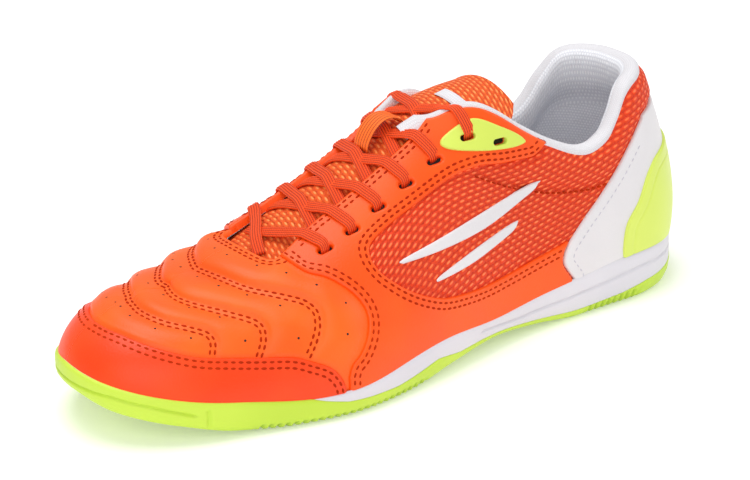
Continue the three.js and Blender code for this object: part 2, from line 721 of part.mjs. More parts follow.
// One lace through stations of [share, distance off the middle], lifted clear of its bed.
function laceRun(stations, lift, steps = 7) {
  const route = new THREE.SplineCurve(stations.map(([share, off]) => new THREE.Vector2(share * LENGTH, off)));
  const points = [];
  const ups = [];
  for (let i = 0; i <= steps; i++) {
    const { x, y: off } = route.getPointAt(i / steps);
    const share = x / LENGTH;
    const bed = new THREE.Vector3(x, middleAt(share) + off, bedHeight(share, off));
    const up = bedNormal(share, off);
    points.push(bed.addScaledVector(up, LACE_CLEAR + LACE_THICK / 2 + lift(off)));
    ups.push(up);
  }
  return ribbon(points, ups, LACE_WIDTH, LACE_THICK);
}

const EYELET_OFF = THROAT_HALF + EYELET_INSET - LACE_THICK; // where a lace ends over its eyelet
const UNDER_OFF = THROAT_HALF - UNDER_INSET;
const UNDER_SHIFT = (0.55 * LACE_WIDTH) / LENGTH; // a lace goes under the eyestay beside the one over it
const BAR_DIP = 0.024; // share of LENGTH that the bar bows towards the toe
const hump = (off) => 1.2 * LACE_THICK * Math.exp(-((off / 7) ** 2));
const flat = () => 0;

function makeLaceBar() {
  const at = EYELETS[0];
  return laceRun([[at, -EYELET_OFF], [at - BAR_DIP, -6], [at - BAR_DIP, 6], [at, EYELET_OFF]], flat, 12);
}

function makeLaceCrossing(n) {
  const [near, far] = [EYELETS[n] + UNDER_SHIFT, EYELETS[n + 1]];
  const upper = laceRun([[near, -UNDER_OFF], [far - UNDER_SHIFT / 2, THROAT_HALF], [far, EYELET_OFF]], hump);
  const lower = laceRun([[near, UNDER_OFF], [far - UNDER_SHIFT, -THROAT_HALF], [far, -EYELET_OFF]], flat);
  return largest(upper.add(lower));
}

// Webbing loop that stands on the tongue over a crossing.
function makeLaceKeeper() {
  const from = tonguePlace(KEEPER_FROM);
  const to = tonguePlace(KEEPER_TO);
  const points = [];
  const ups = [];
  const steps = 8;
  for (let i = 0; i <= steps; i++) {
    const k = i / steps;
    const point = tonguePoint(mix(from, to, k), 0);
    const next = tonguePoint(mix(from, to, k) + 0.1, 0).sub(point);
    const up = new THREE.Vector3(-next.z, 0, next.x).normalize();
    points.push(point.addScaledVector(up, GAP + KEEPER_THICK + KEEPER_RISE * Math.sin(Math.PI * k) ** 0.6));
    ups.push(up);
  }
  return ribbon(points, ups, KEEPER_WIDTH, KEEPER_THICK);
}

const FINISHES = {
  leather: { color: 0xff5a1c, roughness: 0.42 },
  mesh: { color: 0xf0481c, roughness: 0.8 },
  lace: { color: 0xe8401c, roughness: 0.7 },
  rubber: { color: 0xc8ec3c, roughness: 0.45 },
  lime: { color: 0xd6ec64, roughness: 0.4 },
  foam: { color: 0xe9e7ee, roughness: 0.5 },
  white: { color: 0xf2eef0, roughness: 0.5 },
  lining: { color: 0xdedfe4, roughness: 0.9 },
};
const finishes = Object.fromEntries(
  Object.entries(FINISHES).map(([name, look]) => [name, new THREE.MeshStandardMaterial({ ...look, metalness: 0 })]),
);

const group = new THREE.Group();

function addPiece(name, solid, finish) {
  const { vertProperties, triVerts } = solid.getMesh();
  const geometry = new THREE.BufferGeometry();
  geometry.setAttribute("position", new THREE.BufferAttribute(vertProperties, 3));
  geometry.setIndex(new THREE.BufferAttribute(triVerts, 1));
  geometry.computeVertexNormals();
  const mesh = new THREE.Mesh(geometry, finishes[finish]);
  mesh.name = name;
  group.add(mesh);
}

addPiece("outsole", makeOutsole(), "rubber");
addPiece("midsole", makeMidsole(), "foam");
addPiece("insole", makeInsole(), "lining");
addPiece("upper", makeUpper(), "mesh");
addPiece("collar_lining", makeLining(), "lining");
addPiece("tongue", makeTongue(), "mesh");
addPiece("toe_overlay", makeToeOverlay(), "leather");
addPiece("heel_counter", makeHeelCounter(), "white");
addPiece("heel_patch", makeHeelPatch(), "lime");
for (const [word, side] of [["lateral", -1], ["medial", 1]]) {
  addPiece("side_overlay_" + word, makeSideOverlay(side), "leather");
  addPiece("eyelet_patch_" + word, makeEyeletPatch(side), "lime");
  SIDE_BARS.forEach((bar, i) => addPiece(`side_bar_${word}_${i + 1}`, makeSideBar(bar, side), "white"));
}
addPiece("lace_bar", makeLaceBar(), "lace");
for (let n = 0; n + 1 < EYELETS.length; n++) {
  addPiece("lace_crossing_" + (n + 1), makeLaceCrossing(n), "lace");
}
addPiece("lace_keeper", makeLaceKeeper(), "leather");

// Stand the shoe over the origin.
const box = new THREE.Box3().setFromObject(group);
group.position.set(-(box.min.x + box.max.x) / 2, -(box.min.y + box.max.y) / 2, -box.min.z);

export default group;
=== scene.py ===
import math

import bmesh
import bpy
import numpy as np
from mathutils import Matrix, Vector
from mathutils.bvhtree import BVHTree


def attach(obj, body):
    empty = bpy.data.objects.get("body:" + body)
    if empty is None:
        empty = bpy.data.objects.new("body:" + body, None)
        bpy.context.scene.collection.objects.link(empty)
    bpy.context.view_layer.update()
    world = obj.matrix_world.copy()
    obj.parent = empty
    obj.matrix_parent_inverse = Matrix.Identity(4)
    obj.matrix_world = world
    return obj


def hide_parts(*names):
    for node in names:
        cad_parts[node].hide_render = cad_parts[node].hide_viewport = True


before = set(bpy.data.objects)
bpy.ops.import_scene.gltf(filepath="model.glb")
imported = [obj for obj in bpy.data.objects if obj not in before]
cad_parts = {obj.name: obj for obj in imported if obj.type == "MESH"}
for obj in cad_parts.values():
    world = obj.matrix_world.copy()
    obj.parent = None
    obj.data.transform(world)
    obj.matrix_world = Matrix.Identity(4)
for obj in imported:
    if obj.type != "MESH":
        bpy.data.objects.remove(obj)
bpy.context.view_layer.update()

# Sizes of the shoe in millimetres, as in the solid model: x from the toe, y across, z up from the floor.
LENGTH = 292
BALL_WIDTH = 104
INSTEP_HEIGHT = 80
HEEL_HEIGHT = 75
SOLE_HEIGHT = 22
SOLE_LIP = 2.6
WALL = 2
LEATHER = 1.5  # outside of the overlays over the mesh
PATCH = 2.6  # outside of the moulded pieces over the mesh
BAR = 1.1
INSOLE_TOP = 4.4
THROAT_HALF = 16
THROAT_START = 0.284
THROAT_ROUND = 0.022
THROAT_FLARE = 3.5
THROAT_END = 0.66
EYELETS = [0.361, 0.407, 0.454, 0.503, 0.553, 0.607]
SPARE_EYELET = 0.654
EYELET_INSETS = [13, 12.6, 11.4, 10.8, 10.4, 11.4]
SPARE_INSET = 14.5
EYELET_LONG = 6.4
EYELET_WIDE = 2.6
EYELET_NEAR = 14  # beyond this an eyelet is left out of the measuring
LACE_WIDTH = 5.3
LACE_THICK = 1.9
LACE_RIBS = 5
KEEPER_WIDTH = 10
KEEPER_THICK = 1.2
KEEPER_RIBS = 6
KEEPER_RISE = 7.2
KEEPER_FROM = 0.496
KEEPER_TO = 0.558
TONGUE = 5
ROLL_START = 0.548
LAST = 14  # the rib at the middle of the heel
SIDES = (("lateral", -1), ("medial", 1))
INTO_FRAME = np.array([-148.205, 1.774, 0.0])
FAR = 2 * LENGTH

# Ribs of the last from the middle of the toe to the middle of the heel, in shares of the sizes above.
RIB_COLUMNS = (
    "at", "turn", "lat", "med", "axis", "feather", "bottom", "keel", "lean", "rise", "full", "drop", "top",
    "crest",
)
RIBS = [
    (0.155, 0, 0.428, 0.428, 0.058, 1.27, 0.84, 0.16, -0.03, 0.19, 0.46, 0.012, 0, 0.25),
    (0.16, 31, 0.454, 0.399, 0.058, 1.09, 0.62, 0.15, -0.03, 0.225, 0.49, 0.012, 0, 0.304),
    (0.17, 60, 0.457, 0.385, 0.058, 0.84, 0.36, 0.12, -0.02, 0.275, 0.51, 0.012, 0, 0.381),
    (0.19, 82, 0.474, 0.394, 0.058, 0.635, 0.1, 0.06, -0.01, 0.3, 0.55, 0.012, 0, 0.456),
    (0.25, 90, 0.524, 0.438, 0.048, 0.525, 0, 0, 0.01, 0.338, 0.57, 0.012, 0, 0.544),
    (0.34, 90, 0.562, 0.442, 0.038, 0.515, 0, 0, 0.02, 0.362, 0.54, 0.012, 0, 0.671),
    (0.43, 90, 0.529, 0.399, 0.029, 0.68, 0, 0, 0.01, 0.425, 0.5, 0.025, 0.019, 0.788),
    (0.52, 90, 0.471, 0.346, 0.019, 0.773, 0.16, 0.1, 0.01, 0.525, 0.55, 0.062, 0.067, 0.938),
    (0.61, 90, 0.404, 0.317, 0.014, 0.66, 0.25, 0.22, 0.01, 0.6, 0.75, 0.312, 0.192, 1.169),
    (0.7, 90, 0.361, 0.327, 0.01, 0.727, 0.13, 0.1, 0.02, 0.503, 0.82, 0.478, 0.25, 1.283),
    (0.79, 90, 0.351, 0.337, 0.005, 0.864, 0, 0, 0.03, 0.445, 0.88, 0.55, 0.26, 1.348),
    (0.865, 96, 0.348, 0.348, 0, 1.014, 0, 0, 0.038, 0.4, 0.9, 0.587, 0.235, 1.356),
    (0.885, 120, 0.354, 0.346, 0, 1.03, 0.03, 0, 0.038, 0.373, 0.86, 0.587, 0.175, 1.351),
    (0.895, 150, 0.33, 0.323, 0, 0.977, 0.09, 0, 0.048, 0.347, 0.81, 0.587, 0.115, 1.367),
    (0.9, 180, 0.305, 0.305, 0, 0.932, 0.2, 0, 0.048, 0.347, 0.78, 0.587, 0.085, 1.38),
]

# Edges seen from the side: place along the shoe and height above the sole, as shares.
# The collar has one height for the outer side and one for the inner side.
COLLAR = [
    (0.5, 1.03, 0.99), (0.56, 0.962, 0.906), (0.6, 1.006, 0.919), (0.63, 1.006, 0.912),
    (0.66, 0.95, 0.862), (0.7, 0.843, 0.767), (0.75, 0.738, 0.668), (0.8, 0.677, 0.605),
    (0.84, 0.725, 0.619), (0.865, 0.833, 0.693), (0.89, 0.96, 0.84), (0.93, 1, 0.987), (1.03, 1, 1),
]
# Edge of the toe cap, as (rib, share of the way up the rib).
TOE_CUT = [
    (0, 0.456), (0.5, 0.456), (1, 0.44), (1.72, 0.368), (2.32, 0.321), (2.98, 0.298), (3.57, 0.268),
    (4.01, 0.241), (4.27, 0.201), (4.55, 0.147), (4.71, 0.08), (4.77, 0.023), (4.8, -0.03),
]
VAMP_EDGE = [
    (0.306, 0.46), (0.319, 0.406), (0.341, 0.378), (0.359, 0.324), (0.37, 0.26), (0.372, 0.19),
    (0.363, 0.108), (0.347, 0.036), (0.332, -0.006), (0.325, -0.06),
]
WINDOW = [
    (0.767, 0.207), (0.749, 0.18), (0.703, 0.146), (0.653, 0.119), (0.6, 0.109), (0.552, 0.125),
    (0.51, 0.153), (0.474, 0.206), (0.447, 0.262), (0.427, 0.319), (0.415, 0.368), (0.411, 0.429),
    (0.422, 0.485), (0.461, 0.554), (0.494, 0.602), (0.532, 0.654), (0.568, 0.7), (0.593, 0.718),
    (0.62, 0.722), (0.654, 0.704), (0.692, 0.697), (0.714, 0.705), (0.735, 0.76),
]
COUNTER_EDGE = [
    (0.773, -0.042), (0.755, 0.057), (0.755, 0.122), (0.764, 0.184), (0.791, 0.295),
    (0.823, 0.412), (0.851, 0.521), (0.883, 0.657), (0.91, 0.76), (0.937, 0.8), (1.1, 0.84),
]
HEEL_PATCH_EDGE = [
    (0.867, -0.06), (0.862, 0.06), (0.867, 0.2), (0.889, 0.317), (0.914, 0.481),
    (0.955, 0.551), (1.1, 0.6),
]
EYELET_PATCH = [
    (0.571, 0.865), (0.569, 0.842), (0.579, 0.821), (0.609, 0.8), (0.64, 0.782), (0.676, 0.772),
    (0.696, 0.785), (0.694, 0.81), (0.68, 0.85), (0.656, 0.9), (0.635, 0.942), (0.62, 0.955),
    (0.604, 0.94), (0.58, 0.89),
]
SIDE_BARS = [
    [(0.452, 0.375), (0.47, 0.41), (0.7, 0.56), (0.712, 0.548), (0.69, 0.5), (0.6, 0.41)],
    [(0.5, 0.245), (0.515, 0.28), (0.655, 0.385), (0.668, 0.372), (0.65, 0.33), (0.58, 0.268)],
]
# Seam under the padded collar: place and height in millimetres.
COLLAR_SEAM = [
    (0.56, 84), (0.593, 79.4), (0.636, 72.7), (0.687, 65.7), (0.74, 60.6), (0.793, 58), (0.835, 58),
    (0.87, 60.5), (0.9, 63), (1.1, 64),
]
# Tongue: place, height of its crest, half width, and how far its sides hang as a share of that half width.
TONGUE_ROWS = [
    (0.262, 0.37, 0.17, 0.22), (0.3, 0.43, 0.23, 0.32), (0.36, 0.53, 0.25, 0.36), (0.43, 0.66, 0.26, 0.37),
    (0.52, 0.83, 0.26, 0.37), (0.58, 0.925, 0.26, 0.37), (0.64, 0.98, 0.26, 0.37),
    (0.69, 1.005, 0.245, 0.37), (0.712, 1.02, 0.19, 0.3),
]

# Quilting seams of the vamp's outer and inner side, and its pinholes, as (rib, share of the way up the rib).
QUILTING = {
    -1: [
        [(0, 0.785), (0.5, 0.765), (1.2, 0.69), (1.82, 0.61), (2.38, 0.555), (2.76, 0.495), (2.84, 0.415),
         (2.76, 0.33)],
        [(2.1, 1), (2.15, 0.93), (2.44, 0.82), (3.06, 0.682), (3.4, 0.6), (3.69, 0.515), (3.77, 0.445),
         (3.71, 0.361), (3.55, 0.27)],
        [(3.62, 1), (3.7, 0.9), (3.93, 0.726), (4.33, 0.59), (4.55, 0.518), (4.65, 0.438), (4.59, 0.358),
         (4.45, 0.284), (4.25, 0.2)],
    ],
    1: [
        [(0, 0.785), (0.4, 0.795), (0.82, 0.79), (1.5, 0.745), (2.1, 0.68), (2.6, 0.59), (2.84, 0.5),
         (2.84, 0.41), (2.76, 0.33)],
        [(2.1, 1), (2.3, 0.95), (2.95, 0.83), (3.4, 0.7), (3.72, 0.57), (3.8, 0.46), (3.71, 0.361),
         (3.55, 0.27)],
        [(3.62, 1), (3.67, 0.95), (3.91, 0.813), (4.2, 0.69), (4.5, 0.57), (4.65, 0.45), (4.59, 0.358),
         (4.45, 0.284), (4.25, 0.2)],
    ],
}
PINHOLES = [
    [(0.2, 0.66), (0.8, 0.615), (1.56, 0.525), (2.32, 0.448)],
    [(1.58, 0.87), (2.52, 0.696), (3.1, 0.572), (3.34, 0.391)],
    [(3.3, 0.92), (3.48, 0.786), (3.79, 0.659), (4.13, 0.525), (4.17, 0.338)],
    [(4.07, 0.95), (4.25, 0.793), (4.51, 0.676), (4.79, 0.545), (5.05, 0.405), (4.89, 0.281)],
]

# Share of the sole wall's height that is rubber, by rib.
RUBBER_LINE = [
    (0, 1.3), (3.9, 1.3), (4.17, 1.0), (4.38, 0.86), (4.78, 0.64), (5.23, 0.54), (5.75, 0.45), (6.2, 0.49),
    (6.65, 0.54), (7.18, 0.345), (7.72, 0.34), (8.85, 0.25), (9.2, 0.23), (9.75, 0.22), (10.3, 0.23),
    (10.8, 0.245), (11.4, 0.33), (12.5, 0.4), (14, 0.43),
]
# Lines pressed into the sole's wall, as (rib, height in millimetres).
TOE_GROOVE = [(0, 23.4), (0.33, 23), (0.98, 22), (1.56, 18.75), (2.23, 13.5)]
FOAM_GROOVE = [(7.6, 12.5), (8.6, 10.2), (9.66, 11), (10.3, 12.6), (11.2, 15.2), (12.5, 15.6), (14, 15.2)]
# Teeth of the tread's edge: where they lie along the shoe, and their sizes.
TREAD_SPANS = [(0.185, 0.47), (0.79, 0.9)]
TOOTH_PITCH = 3.4
TOOTH_DEPTH = 2.3
NOTCH_RIB = 2.46
NOTCH_DEPTH = 1.2


def mix(a, b, k):
    return a + (b - a) * k


def smooth(k):
    k = np.clip(k, 0, 1)
    return k * k * (3 - 2 * k)


def height_at(share):
    """Height of the upper above the sole, which blends from instep to heel."""
    return mix(INSTEP_HEIGHT, HEEL_HEIGHT, smooth((share - 0.66) / 0.2))


def side_points(shares):
    """Points of the side view in millimetres, from shares."""
    share, up = np.array(shares, float).T
    return np.column_stack([share * LENGTH, SOLE_HEIGHT + up * height_at(share)])


def run_along(points):
    """Distance run at each point of a line."""
    return np.concatenate([[0], np.cumsum(np.linalg.norm(np.diff(points, axis=0), axis=1))])


def natural_curve(values):
    """Natural cubic spline through values at whole numbers."""
    y = np.array(values, float)
    count = len(y)
    system = np.eye(count)
    pull = np.zeros(count)
    for i in range(1, count - 1):
        system[i, i - 1 : i + 2] = 1, 4, 1
        pull[i] = 6 * (y[i - 1] - 2 * y[i] + y[i + 1])
    bend = np.linalg.solve(system, pull)

    def at(place):
        p = np.clip(place, 0, count - 1)
        i = np.minimum(np.floor(p).astype(int), count - 2)
        u = p - i
        w = 1 - u
        return y[i] * w + y[i + 1] * u + ((w**3 - w) * bend[i] + (u**3 - u) * bend[i + 1]) / 6

    return at


def steady_curve(values):
    """Curve through values at whole numbers that never swings past them."""
    y = np.array(values, float)
    steps = np.diff(y)
    before = np.concatenate([[0], steps])
    after = np.concatenate([steps, [0]])
    same = before * after > 0
    slopes = np.where(same, 2 * before * after / np.where(same, before + after, 1), 0)

    def at(place):
        p = np.clip(place, 0, len(y) - 1)
        i = np.minimum(np.floor(p).astype(int), len(y) - 2)
        u = p - i
        lift = slopes[i] * u * (1 - u) ** 2 - slopes[i + 1] * u * u * (1 - u)
        return y[i] + steps[i] * smooth(u) + lift

    return at


STEADY = ("bottom", "keel", "top")
RIB = {
    name: (steady_curve if name in STEADY else natural_curve)([row[c] for row in RIBS])
    for c, name in enumerate(RIB_COLUMNS)
}


def eased_ends(t):
    """Rib places that come to rest at the toe and the heel, where the two sides meet."""
    t = t * (1 - np.exp(-t / 0.3))
    back = LAST - t
    return LAST - back * (1 - np.exp(-back / 0.3))


def rib_sizes(t, side):
    """A rib's sizes in millimetres at places t on one side."""
    t = np.clip(np.asarray(t, float), 0, LAST)
    rib = {
        name: curve(t if name in ("turn", "lat", "med") else eased_ends(t))
        for name, curve in RIB.items()
    }
    rib["reach"] = np.where(np.asarray(side) < 0, rib["lat"], rib["med"]) * BALL_WIDTH
    rib["tall"] = height_at(rib["at"])
    for name in ("feather", "bottom", "keel"):
        rib[name] = rib[name] * SOLE_HEIGHT
    rib["x"] = rib["at"] * LENGTH
    rib["y"] = rib["axis"] * BALL_WIDTH
    rib["turn"] = np.radians(rib["turn"])
    return rib


def from_rib(rib, side, out, up):
    """Points at a distance out from a rib's start and at a height."""
    x = rib["x"] - np.cos(rib["turn"]) * out
    y = rib["y"] + side * np.sin(rib["turn"]) * out
    return np.stack([x, y, up + 0 * x], -1)


def surface(t, v, side):
    """Points of the upper's outside: t from toe to heel, v from the sole to the top."""
    rib = rib_sizes(t, side)
    reach, foot, tall = rib["reach"], rib["feather"], rib["tall"]
    drop = np.maximum(rib["drop"] - 0.012 * (1 - smooth(np.asarray(t) - 5)), 0)
    out = (reach, reach + rib["lean"] * BALL_WIDTH, rib["full"] * reach, rib["top"] * BALL_WIDTH)
    up = (foot, foot + rib["rise"] * tall, foot + (rib["crest"] - drop) * tall, foot + rib["crest"] * tall)
    w = 1 - v
    share = (w**3, 3 * w * w * v, 3 * w * v * v, v**3)
    out, up = (sum(s * value for s, value in zip(share, values)) for values in (out, up))
    return from_rib(rib, side, out, up)


def unit(vectors):
    return vectors / np.maximum(np.linalg.norm(vectors, axis=-1, keepdims=True), 1e-9)


def outward(t, v, side):
    """Directions straight out of the upper."""
    t, v, side = np.broadcast_arrays(np.asarray(t, float), np.asarray(v, float), np.asarray(side, float))
    along = surface(np.minimum(t + 0.02, LAST), v, side) - surface(np.maximum(t - 0.02, 0), v, side)
    up = surface(t, np.minimum(v + 0.004, 1), side) - surface(t, np.maximum(v - 0.004, 0), side)
    return unit(np.cross(along, up) * -side[..., None])


WAIST = np.linspace(3, 11, 400)


def rib_place(share):
    return np.interp(share, RIB["at"](WAIST), WAIST)


def middle_at(share):
    return RIB["axis"](rib_place(share)) * BALL_WIDTH


def flowing_line(points, steps=6):
    """Smooth line through points."""
    p = np.array(points, float)
    p = np.vstack([p[:1], p, p[-1:]])
    line = []
    for i in range(len(p) - 3):
        a, b, c, d = p[i : i + 4]
        for k in range(steps):
            u = k / steps
            squared, cubed = 2 * a - 5 * b + 4 * c - d, 3 * b - a - 3 * c + d
            line.append(0.5 * (2 * b + (c - a) * u + squared * u**2 + cubed * u**3))
    line.append(p[-2])
    return np.array(line)


def nearest_on(flat, a, b):
    """Nearest points to flat on the segments a to b, worked through in batches."""
    near = np.empty_like(flat)
    run = b - a
    size = np.maximum((run * run).sum(-1), 1e-12)
    for first in range(0, len(flat), 4000):
        part = flat[first : first + 4000, None]
        k = np.clip(((part - a) * run).sum(-1) / size, 0, 1)
        spots = a + k[..., None] * run
        pick = ((part - spots) ** 2).sum(-1).argmin(1)
        near[first : first + 4000] = spots[np.arange(len(pick)), pick]
    return near


def inside(flat, ring):
    """True for the points within a closed outline."""
    hit = np.zeros(len(flat), bool)
    x, z = flat.T
    for (ax, az), (bx, bz) in zip(ring, np.roll(ring, -1, 0)):
        if az != bz:
            hit ^= ((az > z) != (bz > z)) & (x < (bx - ax) * (z - az) / (bz - az) + ax)
    return hit


def outline_depth(ring, axes=(0, 2)):
    """How far points lie inside an outline of the side or top view, measured along the surface."""
    ring = np.array(ring, float)
    a, b = ring, np.roll(ring, -1, 0)

    def depth(spots, normals, side=None):
        flat = spots[:, axes]
        away = flat - nearest_on(flat, a, b)
        far = np.linalg.norm(away, axis=1)
        lean = (unit(away) * normals[:, axes]).sum(1)
        sign = np.where(inside(flat, ring), 1, -1)
        return sign * far / np.maximum(np.sqrt(np.maximum(1 - lean**2, 0)), 0.35)

    return depth


def line_distance(spots, line):
    return np.linalg.norm(spots - nearest_on(spots, line[:-1], line[1:]), axis=1)


def toe_depth(spots, normals, side):
    """How far points lie inside the toe cap."""
    away = np.minimum(line_distance(spots, toe_curves[side]), line_distance(spots, toe_curves[-side]))
    return np.where(inside(spots[:, (0, 2)], toe_rings[side]), away, -away)


def throat_ring():
    k = np.linspace(0, 1, 24) ** 2
    front = THROAT_START + THROAT_ROUND
    share = np.concatenate([
        THROAT_START + THROAT_ROUND * k, np.linspace(front + 0.01, 0.4, 12), [THROAT_END + 0.03],
    ])
    flare = 1 - smooth((share - 0.3) / 0.08)
    curve = np.sqrt(1 - (1 - np.clip((share - THROAT_START) / THROAT_ROUND, 0, 1)) ** 3)
    edge = [
        np.column_stack([share * LENGTH, middle_at(share) + side * curve * (THROAT_HALF + wider * flare)])
        for side, wider in ((-1, THROAT_FLARE), (1, 0))
    ]
    return np.vstack([edge[0], edge[1][:0:-1]])


def collar_line(side):
    return flowing_line(side_points([(row[0], row[1 if side < 0 else 2]) for row in COLLAR]))


def collar_ring(side):
    line = collar_line(side)
    return np.vstack([line, [[FAR, line[-1][1]], [FAR, FAR], [line[0][0], FAR]]])


throat_depth = outline_depth(throat_ring(), (0, 1))
collar_depth = {side: outline_depth(collar_ring(side)) for side in (-1, 1)}


def closed_to(line, *corners):
    return np.vstack([line, corners])


toe_cut = flowing_line(TOE_CUT)
toe_curves = {side: surface(*toe_cut.T, side) for side in (-1, 1)}
toe_rings = {
    side: np.vstack([[(-FAR, line[0][2])], line[:, (0, 2)], [(line[-1][0], -FAR), (-FAR, -FAR)]])
    for side, line in toe_curves.items()
}
vamp_line = flowing_line(side_points(VAMP_EDGE))
window_line = flowing_line(side_points(WINDOW))
counter_line = flowing_line(side_points(COUNTER_EDGE))
patch_line = flowing_line(side_points(HEEL_PATCH_EDGE))
seam_line = flowing_line([(share * LENGTH, z) for share, z in COLLAR_SEAM])


def behind(line):
    """Depth behind a line of the side view."""
    return outline_depth(closed_to(line, (FAR, line[-1][1]), (FAR, -FAR), (line[0][0], -FAR)))


counter_depth = behind(counter_line)
heel_patch_depth = behind(patch_line)
rear_line = np.array([(x - 0.6, z) for x, z in counter_line if z < window_line[3][1]])
overlay_ring = np.vstack([
    [(vamp_line[0][0], FAR)], vamp_line, [(vamp_line[-1][0] - 2, -FAR), (rear_line[0][0], -FAR)],
    rear_line, window_line[3:], [(window_line[-1][0] + 3, FAR)],
])
overlay_depth = outline_depth(overlay_ring)
window_ring = closed_to(window_line[::-1], (FAR, window_line[0][1]), (FAR, window_line[-1][1]))
window_depth = outline_depth(window_ring)
vamp_front_ring = closed_to(
    vamp_line, (vamp_line[-1][0], -FAR), (FAR, -FAR), (FAR, FAR), (vamp_line[0][0], FAR)
)
vamp_front_depth = outline_depth(vamp_front_ring)
above_seam = closed_to(seam_line, (FAR, FAR), (seam_line[0][0], FAR))


def seam_distance(spots):
    return line_distance(spots[:, (0, 2)], seam_line)


def wall_seat(share, side, miss):
    """Place on the wall at a rib where the miss is least, and which way is straight out there."""
    t = float(rib_place(share))
    v = np.linspace(0.4, 1, 400)
    spots = surface(np.full(400, t), v, side)
    pick = np.abs(miss(spots)).argmin()
    return spots[pick], outward(t, v[pick], side)


def slots(side):
    """Eyelets of a side. Those of the inner side lie as high as those of the outer side."""
    seats = []
    for share, inset in zip([*EYELETS, SPARE_EYELET], [*EYELET_INSETS, SPARE_INSET]):
        seat = wall_seat(share, -1, lambda s: np.abs(s[:, 1] - middle_at(share)) - THROAT_HALF - inset)
        if side > 0:
            height = seat[0][2]
            seat = wall_seat(share, side, lambda s: s[:, 2] - height)
        seats.append(seat)
    return seats


SEATS = {side: slots(side) for side in (-1, 1)}


def slot_way(out):
    """A slot's long way, which is along the shoe."""
    return unit(np.array([1.0, 0, 0]) - out * out[0])


def eyelet_depth(spots, normals, side):
    """Distance outside the nearest eyelet's slot."""
    least = np.full(len(spots), float(FAR))
    half = (EYELET_LONG - EYELET_WIDE) / 2
    for middle, out in SEATS[side]:
        along = slot_way(out)
        line = np.array([middle - along * half, middle + along * half])
        close = np.linalg.norm(spots - middle, axis=1) < EYELET_NEAR
        if close.any():
            least[close] = np.minimum(least[close], line_distance(spots[close], line) - EYELET_WIDE / 2)
    return least


# Finishes


def add_node(tree, kind, **values):
    node = tree.nodes.new(kind)
    for name, value in values.items():
        setattr(node, name, value)
    return node


def new_group(name, inputs, outputs):
    """Shader node group with float or vector sockets; returns the tree, its inputs and its outputs."""
    tree = bpy.data.node_groups.new(name, "ShaderNodeTree")
    for socket, kind, value in inputs:
        made = tree.interface.new_socket(socket, in_out="INPUT", socket_type=kind)
        if value is not None:
            made.default_value = value
    for socket, kind in outputs:
        tree.interface.new_socket(socket, in_out="OUTPUT", socket_type=kind)
    return tree, tree.nodes.new("NodeGroupInput"), tree.nodes.new("NodeGroupOutput")


FLOAT = "NodeSocketFloat"
VECTOR = "NodeSocketVector"


def math_node(tree, operation, a, b=None):
    node = add_node(tree, "ShaderNodeMath", operation=operation)
    for socket, value in zip(node.inputs, (a, b)):
        if value is None:
            continue
        if isinstance(value, (int, float)):
            socket.default_value = value
        else:
            tree.links.new(value, socket)
    return node.outputs[0]


def ease_node(tree, value, low, high, to_low=0.0, to_high=1.0):
    node = add_node(tree, "ShaderNodeMapRange", interpolation_type="SMOOTHSTEP")
    tree.links.new(value, node.inputs["Value"])
    for name, number in (("From Min", low), ("From Max", high), ("To Min", to_low), ("To Max", to_high)):
        node.inputs[name].default_value = number
    return node.outputs["Result"]


def make_grain_group():
    """Fine pebbles with slow blotches, for smooth leather and moulded parts."""
    tree, inputs, outputs = new_group(
        "Grain",
        [("Place", VECTOR, None), ("Scale", FLOAT, 900.0), ("Blotch", FLOAT, 40.0)],
        [("Height", FLOAT), ("Tone", FLOAT)],
    )
    cells = add_node(tree, "ShaderNodeTexVoronoi", feature="SMOOTH_F1")
    fine = add_node(tree, "ShaderNodeTexNoise")
    slow = add_node(tree, "ShaderNodeTexNoise")
    fine.inputs["Detail"].default_value = 3
    slow.inputs["Detail"].default_value = 2
    for node, socket in ((cells, "Scale"), (fine, "Scale"), (slow, "Blotch")):
        tree.links.new(inputs.outputs["Place"], node.inputs["Vector"])
        tree.links.new(inputs.outputs[socket], node.inputs["Scale"])
    both = math_node(tree, "ADD", cells.outputs["Distance"], fine.outputs["Fac"])
    tree.links.new(both, outputs.inputs["Height"])
    tree.links.new(slow.outputs["Fac"], outputs.inputs["Tone"])
    return tree


def cell_distance(tree, x, y, wide, tall):
    """Rounded-box distance from the middle of a cell."""
    far = []
    for way, half, power in ((x, wide, 2.4), (y, tall, 2.0)):
        share = math_node(tree, "ABSOLUTE", math_node(tree, "DIVIDE", way, half))
        far.append(math_node(tree, "POWER", share, power))
    return math_node(tree, "ADD", *far)


def split_map(tree, vector):
    """X and Y of a map."""
    parts = tree.nodes.new("ShaderNodeSeparateXYZ")
    tree.links.new(vector, parts.inputs[0])
    return parts.outputs["X"], parts.outputs["Y"]


def staggered_cell(tree, x, y):
    """Place within a cell, -0.5 to 0.5 each way, where every other row is moved on by half a cell."""
    odd = math_node(tree, "FLOORED_MODULO", math_node(tree, "FLOOR", y), 2.0)
    along = math_node(tree, "ADD", x, math_node(tree, "MULTIPLY", odd, 0.5))
    return [math_node(tree, "SUBTRACT", math_node(tree, "FRACT", way), 0.5) for way in (along, y)]


DASH_TURN = math.radians(-16)


